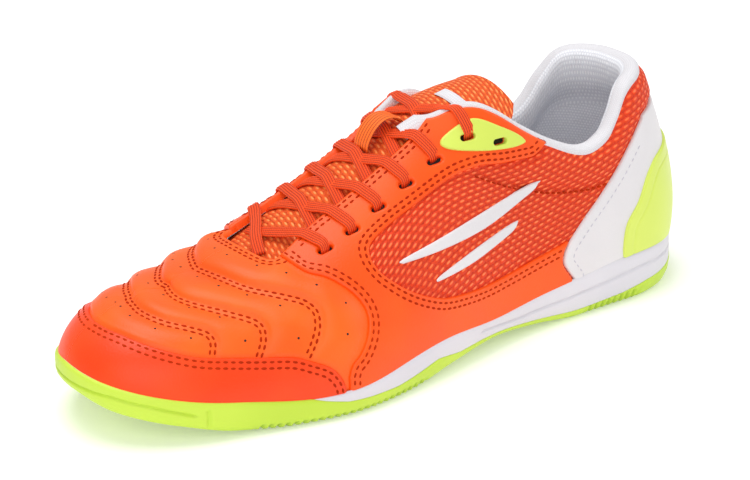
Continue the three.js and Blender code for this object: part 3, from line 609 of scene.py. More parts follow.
def make_dash_group():
    """Staggered rows of short raised dashes, from a map in millimetres, with a painted highlight streak on
    the upper side of each dash and painted shade between the dashes.
    """
    tree, inputs, outputs = new_group(
        "Air mesh dashes",
        [
            ("Map", VECTOR, None), ("Pitch", FLOAT, 4.2), ("Row", FLOAT, 2.3), ("Long", FLOAT, 0.46),
            ("Wide", FLOAT, 0.42),
        ],
        [("Mask", FLOAT), ("Height", FLOAT), ("Shade", FLOAT)],
    )
    turned = add_node(tree, "ShaderNodeVectorRotate", rotation_type="Z_AXIS")
    turned.inputs["Angle"].default_value = DASH_TURN
    tree.links.new(inputs.outputs["Map"], turned.inputs["Vector"])
    x, y = split_map(tree, turned.outputs["Vector"])
    along = math_node(tree, "DIVIDE", x, inputs.outputs["Pitch"])
    up = math_node(tree, "DIVIDE", y, inputs.outputs["Row"])
    cell_x, cell_y = staggered_cell(tree, along, up)
    far = cell_distance(tree, cell_x, cell_y, inputs.outputs["Long"], inputs.outputs["Wide"])
    # the streak is shifted up in each cell: a painted highlight on the upper side of each dash
    lit = math_node(tree, "SUBTRACT", cell_y, 0.1)
    short = math_node(tree, "MULTIPLY", inputs.outputs["Long"], 0.62)
    thin = math_node(tree, "MULTIPLY", inputs.outputs["Wide"], 0.45)
    highlight_streak = cell_distance(tree, cell_x, lit, short, thin)
    # Mask is the painted highlight streak, Height the raised dash, Shade the painted shade between dashes
    tree.links.new(ease_node(tree, highlight_streak, 1.5, 0.2), outputs.inputs["Mask"])
    tree.links.new(ease_node(tree, far, 1.6, 0.0), outputs.inputs["Height"])
    tree.links.new(ease_node(tree, far, 0.9, 2.2), outputs.inputs["Shade"])
    return tree


def make_knit_group():
    """Small staggered knit dots, from a map in millimetres."""
    tree, inputs, outputs = new_group(
        "Fine knit", [("Map", VECTOR, None), ("Pitch", FLOAT, 1.3)], [("Height", FLOAT), ("Mask", FLOAT)]
    )
    grid = add_node(tree, "ShaderNodeVectorMath", operation="DIVIDE")
    tree.links.new(inputs.outputs["Map"], grid.inputs[0])
    pitch = tree.nodes.new("ShaderNodeCombineXYZ")
    for socket in pitch.inputs:
        tree.links.new(inputs.outputs["Pitch"], socket)
    tree.links.new(pitch.outputs[0], grid.inputs[1])
    cell = staggered_cell(tree, *split_map(tree, grid.outputs["Vector"]))
    far = math_node(tree, "ADD", *[math_node(tree, "MULTIPLY", way, way) for way in cell])
    tree.links.new(ease_node(tree, far, 0.2, 0.02), outputs.inputs["Height"])
    # Mask marks each dot's middle; round it the cloth gets painted shade
    tree.links.new(ease_node(tree, far, 0.12, 0.05), outputs.inputs["Mask"])
    return tree


GRAIN = make_grain_group()
DASHES = make_dash_group()
KNIT = make_knit_group()


def new_material(name, color, roughness, **shader):
    material = bpy.data.materials.new(name)
    material.use_nodes = True
    tree = material.node_tree
    look = tree.nodes["Principled BSDF"]
    look.inputs["Base Color"].default_value = (*color, 1)
    look.inputs["Roughness"].default_value = roughness
    for socket, value in shader.items():
        look.inputs[socket.replace("_", " ")].default_value = value
    return material, tree, look


def place_group(tree, group, place, **values):
    """A group node that reads the coordinates given in place."""
    node = add_node(tree, "ShaderNodeGroup", node_tree=group)
    tree.links.new(place, node.inputs[0])
    for socket, value in values.items():
        node.inputs[socket].default_value = value
    return node


def map_coordinates(tree):
    return add_node(tree, "ShaderNodeUVMap", uv_map="cut").outputs["UV"]


def object_coordinates(tree):
    return tree.nodes.new("ShaderNodeTexCoord").outputs["Object"]


def add_bump(tree, look, height, distance, strength=1.0, under=None):
    bump = tree.nodes.new("ShaderNodeBump")
    bump.inputs["Strength"].default_value = strength
    bump.inputs["Distance"].default_value = distance
    tree.links.new(height, bump.inputs["Height"])
    if under is not None:
        tree.links.new(under, bump.inputs["Normal"])
    tree.links.new(bump.outputs["Normal"], look.inputs["Normal"])
    return bump.outputs["Normal"]


def blend_colors(tree, look, mask, first, second):
    blend = add_node(tree, "ShaderNodeMix", data_type="RGBA")
    for index, color in ((6, first), (7, second)):
        if isinstance(color, tuple):
            blend.inputs[index].default_value = (*color, 1)
        else:
            tree.links.new(color, blend.inputs[index])
    tree.links.new(mask, blend.inputs[0])
    tree.links.new(blend.outputs[2], look.inputs["Base Color"])
    return blend.outputs[2]


def grained(name, color, deep, roughness, grain, tone, gloss, **shader):
    """Smooth finish with a fine grain and a slow change of tone and gloss.

    grain is (scale, blotch, bump height in metres), tone is where the slow noise turns from deep to color,
    and gloss is where it turns from smoother to rougher, and by how much.
    """
    material, tree, look = new_material(name, color, roughness, **shader)
    scale, blotch, height = grain
    low, high, smoother, rougher = gloss
    node = place_group(tree, GRAIN, object_coordinates(tree), Scale=scale, Blotch=blotch)
    slow = node.outputs["Tone"]
    blend_colors(tree, look, ease_node(tree, slow, *tone), deep, color)
    rough = ease_node(tree, slow, low, high, roughness - smoother, roughness + rougher)
    tree.links.new(rough, look.inputs["Roughness"])
    add_bump(tree, look, node.outputs["Height"], height)
    return material


def leather(name, color, deep, roughness=0.42):
    """Smooth coated leather."""
    return grained(
        name, color, deep, roughness, (1500.0, 26.0, 0.00006), (0.35, 0.7), (0.3, 0.75, 0.05, 0.07),
        Specular_IOR_Level=0.32, Coat_Roughness=0.3, Coat_Weight=0.05,
    )


def moulded(name, color, deep, roughness, specular=0.5):
    """Moulded rubber, foam or film, and thread."""
    return grained(
        name, color, deep, roughness, (2400.0, 18.0, 0.00003), (0.3, 0.75), (0.3, 0.7, 0.04, 0.08),
        Specular_IOR_Level=specular,
    )


def air_mesh(name, ground, pit_shade, dash_highlight):
    """Padded mesh with glossy raised dashes, painted shade in the hollows between them and a painted
    highlight streak on each.
    """
    material, tree, look = new_material(name, ground, 0.6, Specular_IOR_Level=0.4)
    node = place_group(tree, DASHES, map_coordinates(tree))
    grain = place_group(tree, GRAIN, object_coordinates(tree), Scale=1900.0, Blotch=60.0)
    # painted shade in the hollows away from the dashes
    cloth = blend_colors(tree, look, node.outputs["Shade"], ground, pit_shade)
    uneven = ease_node(tree, grain.outputs["Tone"], 0.2, 0.75, 0.45, 1.0)
    # painted highlight streak on each dash, made patchy by the slow grain tone
    patchy_highlight = math_node(tree, "MULTIPLY", node.outputs["Mask"], uneven)
    blend_colors(tree, look, patchy_highlight, cloth, dash_highlight)
    rough = ease_node(tree, node.outputs["Mask"], 0.0, 1.0, 0.75, 0.4)
    tree.links.new(rough, look.inputs["Roughness"])
    weave = add_bump(tree, look, grain.outputs["Height"], 0.0001, 0.5)
    add_bump(tree, look, node.outputs["Height"], 0.0009, 0.9, weave)
    return material


def knit_cloth(name, color, dot, pitch, depth):
    """Fine knit with small sunken dots: the cloth colour at each dot's middle, and painted shade round it.
    """
    material, tree, look = new_material(name, color, 0.85)
    node = place_group(tree, KNIT, map_coordinates(tree), Pitch=pitch)
    # painted shade of the knit's relief, everywhere but each dot's middle
    blend_colors(tree, look, node.outputs["Mask"], dot, color)
    add_bump(tree, look, node.outputs["Height"], depth, 0.8)
    return material


def woven_lace(name, color, deep, pitch):
    """Flat woven band: fine diagonal weave over the modelled ribs, with painted shade in the grooves between
    them.
    """
    material, tree, look = new_material(name, color, 0.6, Specular_IOR_Level=0.35)
    waves = add_node(tree, "ShaderNodeTexWave", wave_type="BANDS", bands_direction="DIAGONAL")
    waves.inputs["Scale"].default_value = 0.55
    waves.inputs["Distortion"].default_value = 0.6
    cut = map_coordinates(tree)
    tree.links.new(cut, waves.inputs["Vector"])
    over = math_node(tree, "DIVIDE", split_map(tree, cut)[1], pitch)
    turn = math_node(tree, "FRACT", math_node(tree, "ADD", over, 0.5))
    off = math_node(tree, "ABSOLUTE", math_node(tree, "SUBTRACT", turn, 0.5))
    groove = ease_node(tree, off, 0.02, 0.26)
    woven = ease_node(tree, waves.outputs["Fac"], 0.0, 1.0, 0.55, 1.0)
    cloth = blend_colors(tree, look, woven, deep, color)
    # painted shade in the grooves between the ribs
    groove_shade = tuple(c * 0.45 for c in deep)
    blend_colors(tree, look, groove, groove_shade, cloth)
    add_bump(tree, look, waves.outputs["Fac"], 0.00012, 0.7)
    return material


ORANGE_LEATHER = leather("orange smooth leather", (0.96, 0.098, 0.001), (0.9, 0.078, 0.001))
CAP_LEATHER = leather("toe cap leather", (0.93, 0.065, 0.002), (0.86, 0.048, 0.001))
VAMP_LEATHER = leather("quilted vamp leather", (0.97, 0.13, 0.005), (0.93, 0.1, 0.003), 0.45)
WHITE_LEATHER = leather("white heel leather", (0.74, 0.715, 0.725), (0.69, 0.67, 0.685), 0.4)
LIME_FILM = moulded("lime moulded film", (0.66, 0.78, 0.12), (0.61, 0.74, 0.1), 0.35)
# Mesh colours: the cloth, the painted shade between its dashes, and the painted highlight on them.
QUARTER_MESH = air_mesh("quarter mesh", (0.84, 0.052, 0.004), (0.55, 0.02, 0.003), (0.98, 0.21, 0.06))
TONGUE_MESH = air_mesh("tongue mesh", (0.96, 0.13, 0.014), (0.62, 0.04, 0.005), (1.0, 0.36, 0.1))
# Knit colours: the cloth, and the painted shade of its relief.
ROLL_CLOTH = knit_cloth("white collar cloth", (0.77, 0.755, 0.775), (0.68, 0.67, 0.7), 0.9, 0.00012)
LINING_CLOTH = knit_cloth("grey lining mesh", (0.95, 0.96, 0.99), (0.78, 0.79, 0.84), 1.5, 0.00018)
SOCK_CLOTH = knit_cloth("insole cloth", (0.72, 0.72, 0.77), (0.56, 0.56, 0.61), 1.2, 0.00015)
LIME_RUBBER = moulded("lime outsole rubber", (0.56, 0.75, 0.055), (0.5, 0.69, 0.04), 0.42)
WHITE_FOAM = moulded("white midsole foam", (0.7, 0.68, 0.72), (0.65, 0.63, 0.68), 0.45)
LACE_WEAVE = woven_lace("woven lace", (0.9, 0.088, 0.008), (0.72, 0.046, 0.005), LACE_WIDTH / LACE_RIBS)
KEEPER_WEAVE = woven_lace(
    "orange webbing", (1.0, 0.17, 0.014), (0.88, 0.12, 0.01), KEEPER_WIDTH / KEEPER_RIBS
)
# thread colour darkened with painted shade of the dimple each stitch sits in
THREAD_WITH_DIMPLE_SHADE = moulded("stitching thread", (0.5, 0.035, 0.002), (0.38, 0.02, 0.001), 0.7, specular=0.08)
PALE_THREAD = moulded("pale stitching thread", (0.56, 0.54, 0.6), (0.46, 0.44, 0.5), 0.6)
# near-black discs of painted shade for the pinholes and under the eyelet slots
HOLE_SHADE = moulded("painted hole shade", (0.014, 0.008, 0.007), (0.009, 0.006, 0.005), 0.8)


# Making pieces

built = {}


def in_frame(points):
    return (np.asarray(points) + INTO_FRAME) / 1000


def add_object(name, data):
    made = bpy.data.objects.new(name, data)
    bpy.context.scene.collection.objects.link(made)
    return made


def add_piece(name, points, faces, material, replaced=(), maps=None, flip=False):
    """A shown piece from points in shoe millimetres, with the map `cut` in millimetres."""
    spots = in_frame(points)
    mesh = bpy.data.meshes.new(name)
    mesh.from_pydata(spots.tolist(), [], [f[::-1] for f in faces] if flip else faces)
    if maps is not None:
        layer = mesh.uv_layers.new(name="cut")
        corners = np.empty(len(mesh.loops), np.int32)
        mesh.loops.foreach_get("vertex_index", corners)
        layer.data.foreach_set("uv", np.asarray(maps, np.float32)[corners].ravel())
    mesh.polygons.foreach_set("use_smooth", np.ones(len(mesh.polygons), bool))
    mesh.materials.append(material)
    mesh.update()
    piece = add_object(name, mesh)
    if replaced:
        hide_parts(*replaced)
    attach(piece, "root")
    built[name] = (spots, faces)
    return piece


RIMS = (0.0, 0.1, 0.3, 0.7, 1.3)


def rim(depth, width=1.3):
    """Rounded rise of a piece's edge, 0 to 1."""
    k = np.clip(depth / width, 0, 1)
    return np.sqrt(np.maximum(1 - (1 - k) ** 2, 0))


def parameter_sheet(depth, t_span, v_span, side, step):
    """Grid over ribs and heights whose third coordinate is how deep inside the piece a point lies."""
    t_line = np.linspace(*t_span, 120)
    v_line = np.linspace(*v_span, 60)
    middle = surface(t_line, np.mean(v_span), side)
    upright = surface(np.mean(t_span), v_line, side)
    across, rows = (int(np.ceil(run_along(line)[-1] / step)) for line in (middle, upright))
    t, v = np.meshgrid(np.linspace(*t_span, across + 1), np.linspace(*v_span, rows + 1), indexing="ij")
    t, v = t.ravel(), v.ravel()
    spots, normals = surface(t, v, side), outward(t, v, side)
    deep = np.clip(depth(spots, normals, side), -20, 20)
    corner = (np.arange(across)[:, None] * (rows + 1) + np.arange(rows)).ravel()
    faces = np.column_stack([corner, corner + rows + 1, corner + rows + 2, corner + 1])
    faces = faces[deep[faces].max(1) > -1]
    used, faces = np.unique(faces, return_inverse=True)
    faces = faces.reshape(-1, 4)
    mesh = bpy.data.meshes.new("sheet")
    mesh.from_pydata(np.column_stack([t, v, deep])[used].tolist(), [], faces.tolist())
    sheet = bmesh.new()
    sheet.from_mesh(mesh)
    bpy.data.meshes.remove(mesh)
    return sheet


def cut_sheet(sheet, level, drop=False):
    whole = sheet.verts[:] + sheet.edges[:] + sheet.faces[:]
    return bmesh.ops.bisect_plane(
        sheet, geom=whole, dist=1e-6, plane_co=(0, 0, level), plane_no=(0, 0, 1), clear_inner=drop
    )["geom_cut"]


def rib_lengths():
    """For ribs along the shoe: distance run along the side, and the way up from sole to top."""
    t = np.linspace(0, LAST, 300)
    run = run_along(surface(t, 0.35, -1))
    v = np.linspace(0, 1, 50)
    tall = [run_along(surface(np.full(50, place), v, -1))[-1] for place in t]
    return t, run, np.array(tall)


RIB_T, RIB_RUN, RIB_TALL = rib_lengths()


def cut_map(t, v):
    """Map in millimetres, along the shoe and up its wall."""
    return np.column_stack([np.interp(t, RIB_T, RIB_RUN), v * np.interp(t, RIB_T, RIB_TALL)])


def panel(
    name, depth, rise, material, replaced=(), t_span=(0, LAST), v_span=(0, 1), sides=(-1, 1),
    step=0.8, flip=False,
):
    """A piece of the upper: a sheet cut to its outline, laid on the last and raised by `rise`."""
    params, faces, where = [], [], []
    count = 0
    for side in sides:
        sheet = parameter_sheet(depth, t_span, v_span, side, step)
        for k, level in enumerate(RIMS):
            cut_sheet(sheet, level, drop=k == 0)
        many = [f for f in sheet.faces if len(f.verts) > 4]
        bmesh.ops.triangulate(sheet, faces=many)
        sheet.verts.index_update()
        params.append(np.array([v.co for v in sheet.verts]).reshape(-1, 3))
        turn = slice(None) if side < 0 else slice(None, None, -1)
        faces += [tuple(count + v.index for v in f.verts)[turn] for f in sheet.faces]
        where.append(np.full(len(sheet.verts), side))
        count += len(sheet.verts)
        sheet.free()
    params, where = np.vstack(params), np.concatenate(where)
    t, v, deep = params.T
    spots = surface(t, v, where)
    mesh = bpy.data.meshes.new("laid")
    mesh.from_pydata(spots.tolist(), [], faces)
    laid = bmesh.new()
    laid.from_mesh(mesh)
    bpy.data.meshes.remove(mesh)
    tag = laid.verts.layers.int.new("first")
    for k, vert in enumerate(laid.verts):
        vert[tag] = k
    laid.verts.ensure_lookup_table()
    at_seam = np.flatnonzero((v > 1 - 1e-5) | (t < 1e-5) | (t > LAST - 1e-5))
    bmesh.ops.remove_doubles(laid, verts=[laid.verts[k] for k in at_seam], dist=0.003)
    laid.normal_update()
    laid.verts.index_update()
    kept = np.array([vert[tag] for vert in laid.verts])
    normals = np.array([vert.normal for vert in laid.verts])
    base = np.array([vert.co for vert in laid.verts])
    faces = [tuple(vert.index for vert in f.verts) for f in laid.faces]
    laid.free()
    t, v, deep, where = t[kept], v[kept], deep[kept], where[kept]
    lift = rise(base, normals, t, v, where, deep)
    base = base + normals * lift[:, None]
    return add_piece(name, base, faces, material, replaced, cut_map(t, v), flip)


def by_side(test, spots, normals, where):
    """Runs a per-side measure over points of both sides."""
    found = np.empty(len(spots))
    for side in (-1, 1):
        mine = np.broadcast_to(where, len(spots)) == side
        if mine.any():
            found[mine] = test(spots[mine], normals[mine], side)
    return found


def clear_of_opening(spots, normals, side):
    return np.minimum(-throat_depth(spots, normals), -collar_depth[side](spots, normals))


def edge_rise(thick, holes=False):
    """Rise of a plain overlay, turned in to the wall's inside at the throat and collar."""

    def rise(spots, normals, t, v, where, deep):
        lift = thick * rim(deep)

        def gap(s, n, side):
            clear = clear_of_opening(s, n, side)
            return np.minimum(clear, eyelet_depth(s, n, side)) if holes else clear

        at_edge = (deep < 0.03) & (by_side(gap, spots, normals, where) < 0.3)
        return np.where(at_edge, -WALL - 0.1, lift)

    return rise


# The quilted vamp

quilt_lines = {
    side: [surface(*flowing_line(line, 10).T, side) for line in QUILTING[side]]
    for side in (-1, 1)
}
quilt_rings = {
    side: [
        np.vstack([
            [[line[0][0], 1.1 if k else line[0][1]]], flowing_line(line, 10),
            [[line[-1][0], -0.1], [-0.1, -0.1], [-0.1, 1.1 if k else line[0][1]]],
        ])
        for k, line in enumerate(QUILTING[side])
    ]
    for side in (-1, 1)
}


UNDER_CAP = 5  # how far the vamp runs on under the toe cap
UNDER_OVERLAY = 6


def vamp_depth(spots, normals, side):
    return np.minimum.reduce([
        -throat_depth(spots, normals), UNDER_CAP - toe_depth(spots, normals, side),
        UNDER_OVERLAY - vamp_front_depth(spots, normals),
    ])


LOBE_RISE = 2.7
LOBE_FRONT = 7  # millimetres over which a lobe rises behind a seam
LOBE_BACK = 13  # and over which it sinks to the next one
SEAM_VALLEY = 3.1


def vamp_rise(spots, normals, t, v, where, deep):
    """Padded lobes that bulge over the seam in front of them and sink to the seam behind."""
    flat = np.column_stack([t, v])
    lobe = 3
    for outer, inner in zip(quilt_rings[-1], quilt_rings[1]):
        lobe = lobe - np.where(where < 0, inside(flat, outer), inside(flat, inner)).astype(int)
    distance = [
        np.minimum(line_distance(spots, outer), line_distance(spots, inner))
        for outer, inner in zip(quilt_lines[-1], quilt_lines[1])
    ]
    to_toe = -by_side(toe_depth, spots, normals, where)
    to_edge = np.minimum(-vamp_front_depth(spots, normals), -throat_depth(spots, normals))
    front = np.choose(lobe, [to_toe, *distance])
    back = np.choose(lobe, [*distance, to_edge + 1.5])
    past_cap = np.clip((to_toe - 3) / 9, 0, 1)
    sinking = 1 - (1 - np.clip((back - SEAM_VALLEY) / LOBE_BACK, 0, 1)) ** 2
    swell = rim(front - 0.5, LOBE_FRONT) ** 0.9 * sinking
    lift = 0.5 + LOBE_RISE * swell * (0.35 + 0.65 * past_cap)
    under_cap = np.clip(to_toe / 1.5, 0, 1)
    lift = lift * (0.3 + 0.7 * under_cap)
    edge = (deep < 0.03) & (throat_depth(spots, normals) > -0.3)
    return np.where(edge, -WALL, lift * np.where(to_edge < 1.4, rim(to_edge + 0.3, 1.7), 1))


panel("vamp", vamp_depth, vamp_rise, VAMP_LEATHER, t_span=(0, 5.8))

# Smooth overlays

panel(
    "toe_cap", toe_depth, edge_rise(LEATHER), CAP_LEATHER, ("toe_overlay",), (0, 5.5),
    (0, 0.62),
)


def side_overlay_depth(spots, normals, side):
    return np.minimum.reduce([
        overlay_depth(spots, normals), clear_of_opening(spots, normals, side),
        eyelet_depth(spots, normals, side),
    ])


for word, side in SIDES:
    panel(
        f"side_overlay_{word}_leather", side_overlay_depth, edge_rise(LEATHER, True), ORANGE_LEATHER,
        (f"side_overlay_{word}",), (4.4, 10), (0, 1), (side,), 0.6,
    )


# Mesh quarters with their padded collar


def quarter_depth(spots, normals, side):
    clear = clear_of_opening(spots, normals, side) - 0.4
    return np.minimum(clear, eyelet_depth(spots, normals, side) + 0.2)


COLLAR_PAD = 1.9
MESH_BELLY = 0.7
SEAM_CREASE = 0.8


def quarter_rise(spots, normals, t, v, where, deep):
    """Padded above the collar seam, and flat where leather lies over it."""
    seam = seam_distance(spots)
    above = inside(spots[:, (0, 2)], above_seam)
    bare = smooth(-overlay_depth(spots, normals) / 4) * smooth(-counter_depth(spots, normals) / 4)
    pad = COLLAR_PAD * smooth((seam - 0.5) / 6) * smooth(deep / 5)
    belly = MESH_BELLY * smooth((seam - 0.5) / 5)
    crease = SEAM_CREASE * np.exp(-((seam / SEAM_CREASE) ** 2))
    return (np.where(above, pad, belly) - crease) * bare - 0.3 * (deep < 0.03)


panel("quarter_mesh", quarter_depth, quarter_rise, QUARTER_MESH, ("upper",), (5.55, LAST))

panel(
    "heel_wrap", lambda s, n, side: np.minimum(counter_depth(s, n), clear_of_opening(s, n, side)),
    edge_rise(LEATHER), WHITE_LEATHER, ("heel_counter",), (8.6, LAST),
)


BORDER_IN = 5.2  # from the inset's edge to its border line
BORDER_WIDE = 0.45


def heel_patch_rise(spots, normals, t, v, where, deep):
    """Lime inset with a raised border line inside its edge."""
    line = 0.35 * np.exp(-(((deep - BORDER_IN) / BORDER_WIDE) ** 2))
    return LEATHER + (PATCH - LEATHER) * rim(deep) - line


panel(
    "heel_inset", heel_patch_depth, heel_patch_rise, LIME_FILM, ("heel_patch",), (10.4, LAST),
    (0, 0.8), step=0.5,
)


def closed_depth(corners):
    """Depth inside a smooth closed outline of the side view."""
    return outline_depth(flowing_line(side_points([*corners, corners[0]]))[:-1])


eyelet_patch_depth = closed_depth(EYELET_PATCH)


PATCH_BELOW_COLLAR = {-1: 0.6, 1: 3.0}


def patch_depth(spots, normals, side):
    return np.minimum.reduce([
        eyelet_patch_depth(spots, normals), eyelet_depth(spots, normals, side),
        clear_of_opening(spots, normals, side) - PATCH_BELOW_COLLAR[side],
    ])


def patch_rise(spots, normals, t, v, where, deep):
    hole = by_side(eyelet_depth, spots, normals, where)
    lift = LEATHER + (PATCH - LEATHER) * rim(deep, 0.8)
    return np.where((deep < 0.03) & (hole < 0.3), -WALL, lift)


def bar_rise(spots, normals, t, v, where, deep):
    return 0.3 + BAR * rim(deep, 0.9)


for word, side in SIDES:
    panel(
        f"eyelet_inset_{word}", patch_depth, patch_rise, LIME_FILM, (f"eyelet_patch_{word}",),
        (7.2, 9.6), (0.3, 1), (side,), 0.4,
    )
    for k, bar in enumerate(SIDE_BARS):
        panel(
            f"side_stripe_{word}_{k + 1}", closed_depth(bar), bar_rise, WHITE_LEATHER,
            (f"side_bar_{word}_{k + 1}",), (6, 9.8), (0.05, 0.8), (side,), 0.5,
        )


# Collar roll, lining and insole


COLLAR_STEPS = 170
RIB_STEPS = 161


def collar_columns():
    """Ribs round the collar from the outer throat, behind the heel, to the inner throat."""
    start = float(rib_place(ROLL_START - 0.012))
    run = np.linspace(start, LAST, COLLAR_STEPS)
    t = np.concatenate([run, run[-2::-1]])
    side = np.repeat([-1, 1], [COLLAR_STEPS, COLLAR_STEPS - 1])
    return t, side


def strip_faces(columns, rows):
    corner = (np.arange(columns - 1)[:, None] * rows + np.arange(rows - 1)).ravel()
    return np.column_stack([corner, corner + rows, corner + rows + 1, corner + 1]).tolist()


def collar_strip(profile):
    """Sheet along the collar line from (rise over the line, way out of the upper) points."""
    t, side = collar_columns()
    v = np.linspace(0, 1, RIB_STEPS)
    lines = {s: collar_line(s) for s in (-1, 1)}
    points, maps = [], []
    run = 0.0
    before = None
    for place, s in zip(t, side):
        rib = surface(np.full(RIB_STEPS, place), v, s)
        edge = np.interp(rib[:, 0], *lines[s].T)
        over = rib[:, 2] - edge
        top = max(int(np.argmax(over > 0)), 1) if (over > 0).any() else RIB_STEPS - 1
        k = np.clip(-over[top - 1] / max(over[top] - over[top - 1], 1e-6), 0, 1)
        v_top = mix(v[top - 1], v[top], k)
        crest = surface(place, v_top, s)
        climb = unit(surface(place, min(v_top + 0.01, 1), s) - surface(place, v_top - 0.01, s))
        share = crest[0] / LENGTH
        plump = mix(0.55, 1.15, float(smooth((share - 0.6) / 0.25)))
        if before is not None:
            run += np.linalg.norm(crest - before)
        before = crest
        for j, (rise, away) in enumerate(profile):
            if rise >= 0:
                at, on_v = crest + climb * rise * mix(0.8, 1, plump), v_top
            else:
                z = crest[2] + rise
                on_v = float(np.interp(z, rib[: top + 1, 2], v[: top + 1]))
                at = surface(place, on_v, s)
            thick = -0.3 + (away + 0.3) * plump
            points.append(at + outward(place, on_v, s) * thick)
            maps.append((run, 1.6 * j))
    return np.array(points), strip_faces(len(t), len(profile)), maps


ROLL_PROFILE = [
    (-3.0, -0.6), (-1.4, 0.15), (0.2, 0.3), (1.4, -0.3), (2.2, -1.5), (2.6, -2.9), (2.5, -4.2), (2.0, -5.2),
]
PAD_PROFILE = [
    (2.2, -4.9), (1.6, -5.9), (0.4, -6.8), (-1.6, -7.4), (-4.0, -7.7), (-7.0, -7.8), (-10.5, -7.8),
    (-13.5, -7.4), (-16.5, -6.5), (-19.5, -5.2), (-22.5, -3.9), (-25.0, -3.0), (-28.0, -2.5),
]
points, faces, maps = collar_strip(ROLL_PROFILE)
roll = add_piece("collar_roll", points, faces, ROLL_CLOTH, ("collar_lining",), maps, flip=True)
points, faces, maps = collar_strip(PAD_PROFILE)
pad = add_piece("collar_pad", points, faces, LINING_CLOTH, (), maps, flip=True)


def inner_rise(spots, normals, t, v, where, deep):
    return np.full(len(spots), -WALL - 0.15)


panel(
    "inner_lining", lambda s, n, side: clear_of_opening(s, n, side) + 0.2, inner_rise, LINING_CLOTH,
    step=1.6, flip=True,
)


def rib_loft(profile, t):
    """Sheet from rows of (way out, height) at each rib, on both sides, with the middle seams closed."""
    points, faces = [], []
    for side in (-1, 1):
        rib = rib_sizes(t, side)
        rows = profile(rib, t)
        grid = np.stack([from_rib(rib, side, out, up) for out, up in rows], 1)
        mine = np.array(strip_faces(len(t), len(rows))) + sum(len(p) for p in points)
        faces += (mine if side < 0 else mine[:, ::-1]).tolist()
        points.append(grid.reshape(-1, 3))
    points = np.vstack(points)
    return points, faces, points[:, :2]


def insole_rows(rib, t):
    edge = rib["reach"] - WALL - 0.4 + 0.35 * np.minimum(rib["lean"], 0) * BALL_WIDTH
    low = rib["feather"]
    bowl = np.linspace(0, 1, 12)
    rows = [(edge, low + 0.75), (edge + 0.1, low + INSOLE_TOP - 0.6)]
    return rows + [(edge * (1 - k) - 1.2 * (k < 0.05), low + INSOLE_TOP - 0.5 * k) for k in bowl]


def welded(points, faces, maps, dist=0.01):
    """Merges the points that the two sides share."""
    cells = np.round(points / dist).astype(int)
    _, first, back = np.unique(cells, axis=0, return_index=True, return_inverse=True)
    back = back.ravel()
    joined = [tuple(dict.fromkeys(back[list(f)].tolist())) for f in faces]
    return points[first], [f for f in joined if len(f) > 2], maps[first]


points, faces, maps = welded(*rib_loft(insole_rows, np.linspace(0, LAST, 150)))
add_piece("sock_liner", points, faces, SOCK_CLOTH, ("insole",), maps, flip=True)

# Sole

SOLE_T = np.linspace(0, LAST, 561)
WALL_SHARES = np.array([0, 0.06, 0.15, 0.35, 0.6, 0.8, 0.92, 1.0])
WALL_OUTS = np.array([0.55, 0.86, 0.98, 1.0, 0.98, 0.75, 0.3, -0.6])


def wall_out(share):
    return SOLE_LIP * np.interp(share, WALL_SHARES, WALL_OUTS)


def groove(z, t, line, depth, wide, fade):
    place, height = np.array(line).T
    middle = np.interp(t, place, height)
    live = smooth((t - fade[0]) / 0.15 + 0.5) * smooth((fade[1] - t) / 0.15 + 0.5)
    return -depth * live * np.exp(-(((z - middle) / wide) ** 2))


def tread_teeth(x):
    """Saw teeth of the tread's edge, 0 to 1."""
    share = x / LENGTH
    live = sum(smooth((share - low) / 0.012) * smooth((high - share) / 0.012) for low, high in TREAD_SPANS)
    wave = np.abs((x / TOOTH_PITCH) % 1 - 0.5) * 2
    return np.clip(live, 0, 1) * smooth(1.4 * wave - 0.2)


def rubber_share(t):
    place, share = np.array(RUBBER_LINE).T
    return np.interp(t, place, share)


def lip_height(rib, t):
    """Top of the sole's wall, which stands up round the toe."""
    return rib["feather"] + 0.5 + 1.5 * (1 - smooth((t - 3) / 1.3))


def midsole_rows(rib, t):
    top = lip_height(rib, t)
    tall = top - rib["bottom"]
    end = np.clip(1 - rubber_share(t), 0, 1)
    rows = [(rib["reach"] - 2, rib["feather"] - 0.3), (rib["reach"] + 0.9, rib["feather"] + 0.3)]
    for k in np.linspace(0, 1, 30):
        share = end * k
        z = top - share * tall
        out = rib["reach"] + wall_out(share) - 0.35
        out = out + groove(z, t, FOAM_GROOVE, 1.0, 0.5, (7.7, 14.5)) * smooth(end * 6)
        rows.append((out, z))
    rows.append((rib["reach"] - 4, top - end * tall))
    return rows


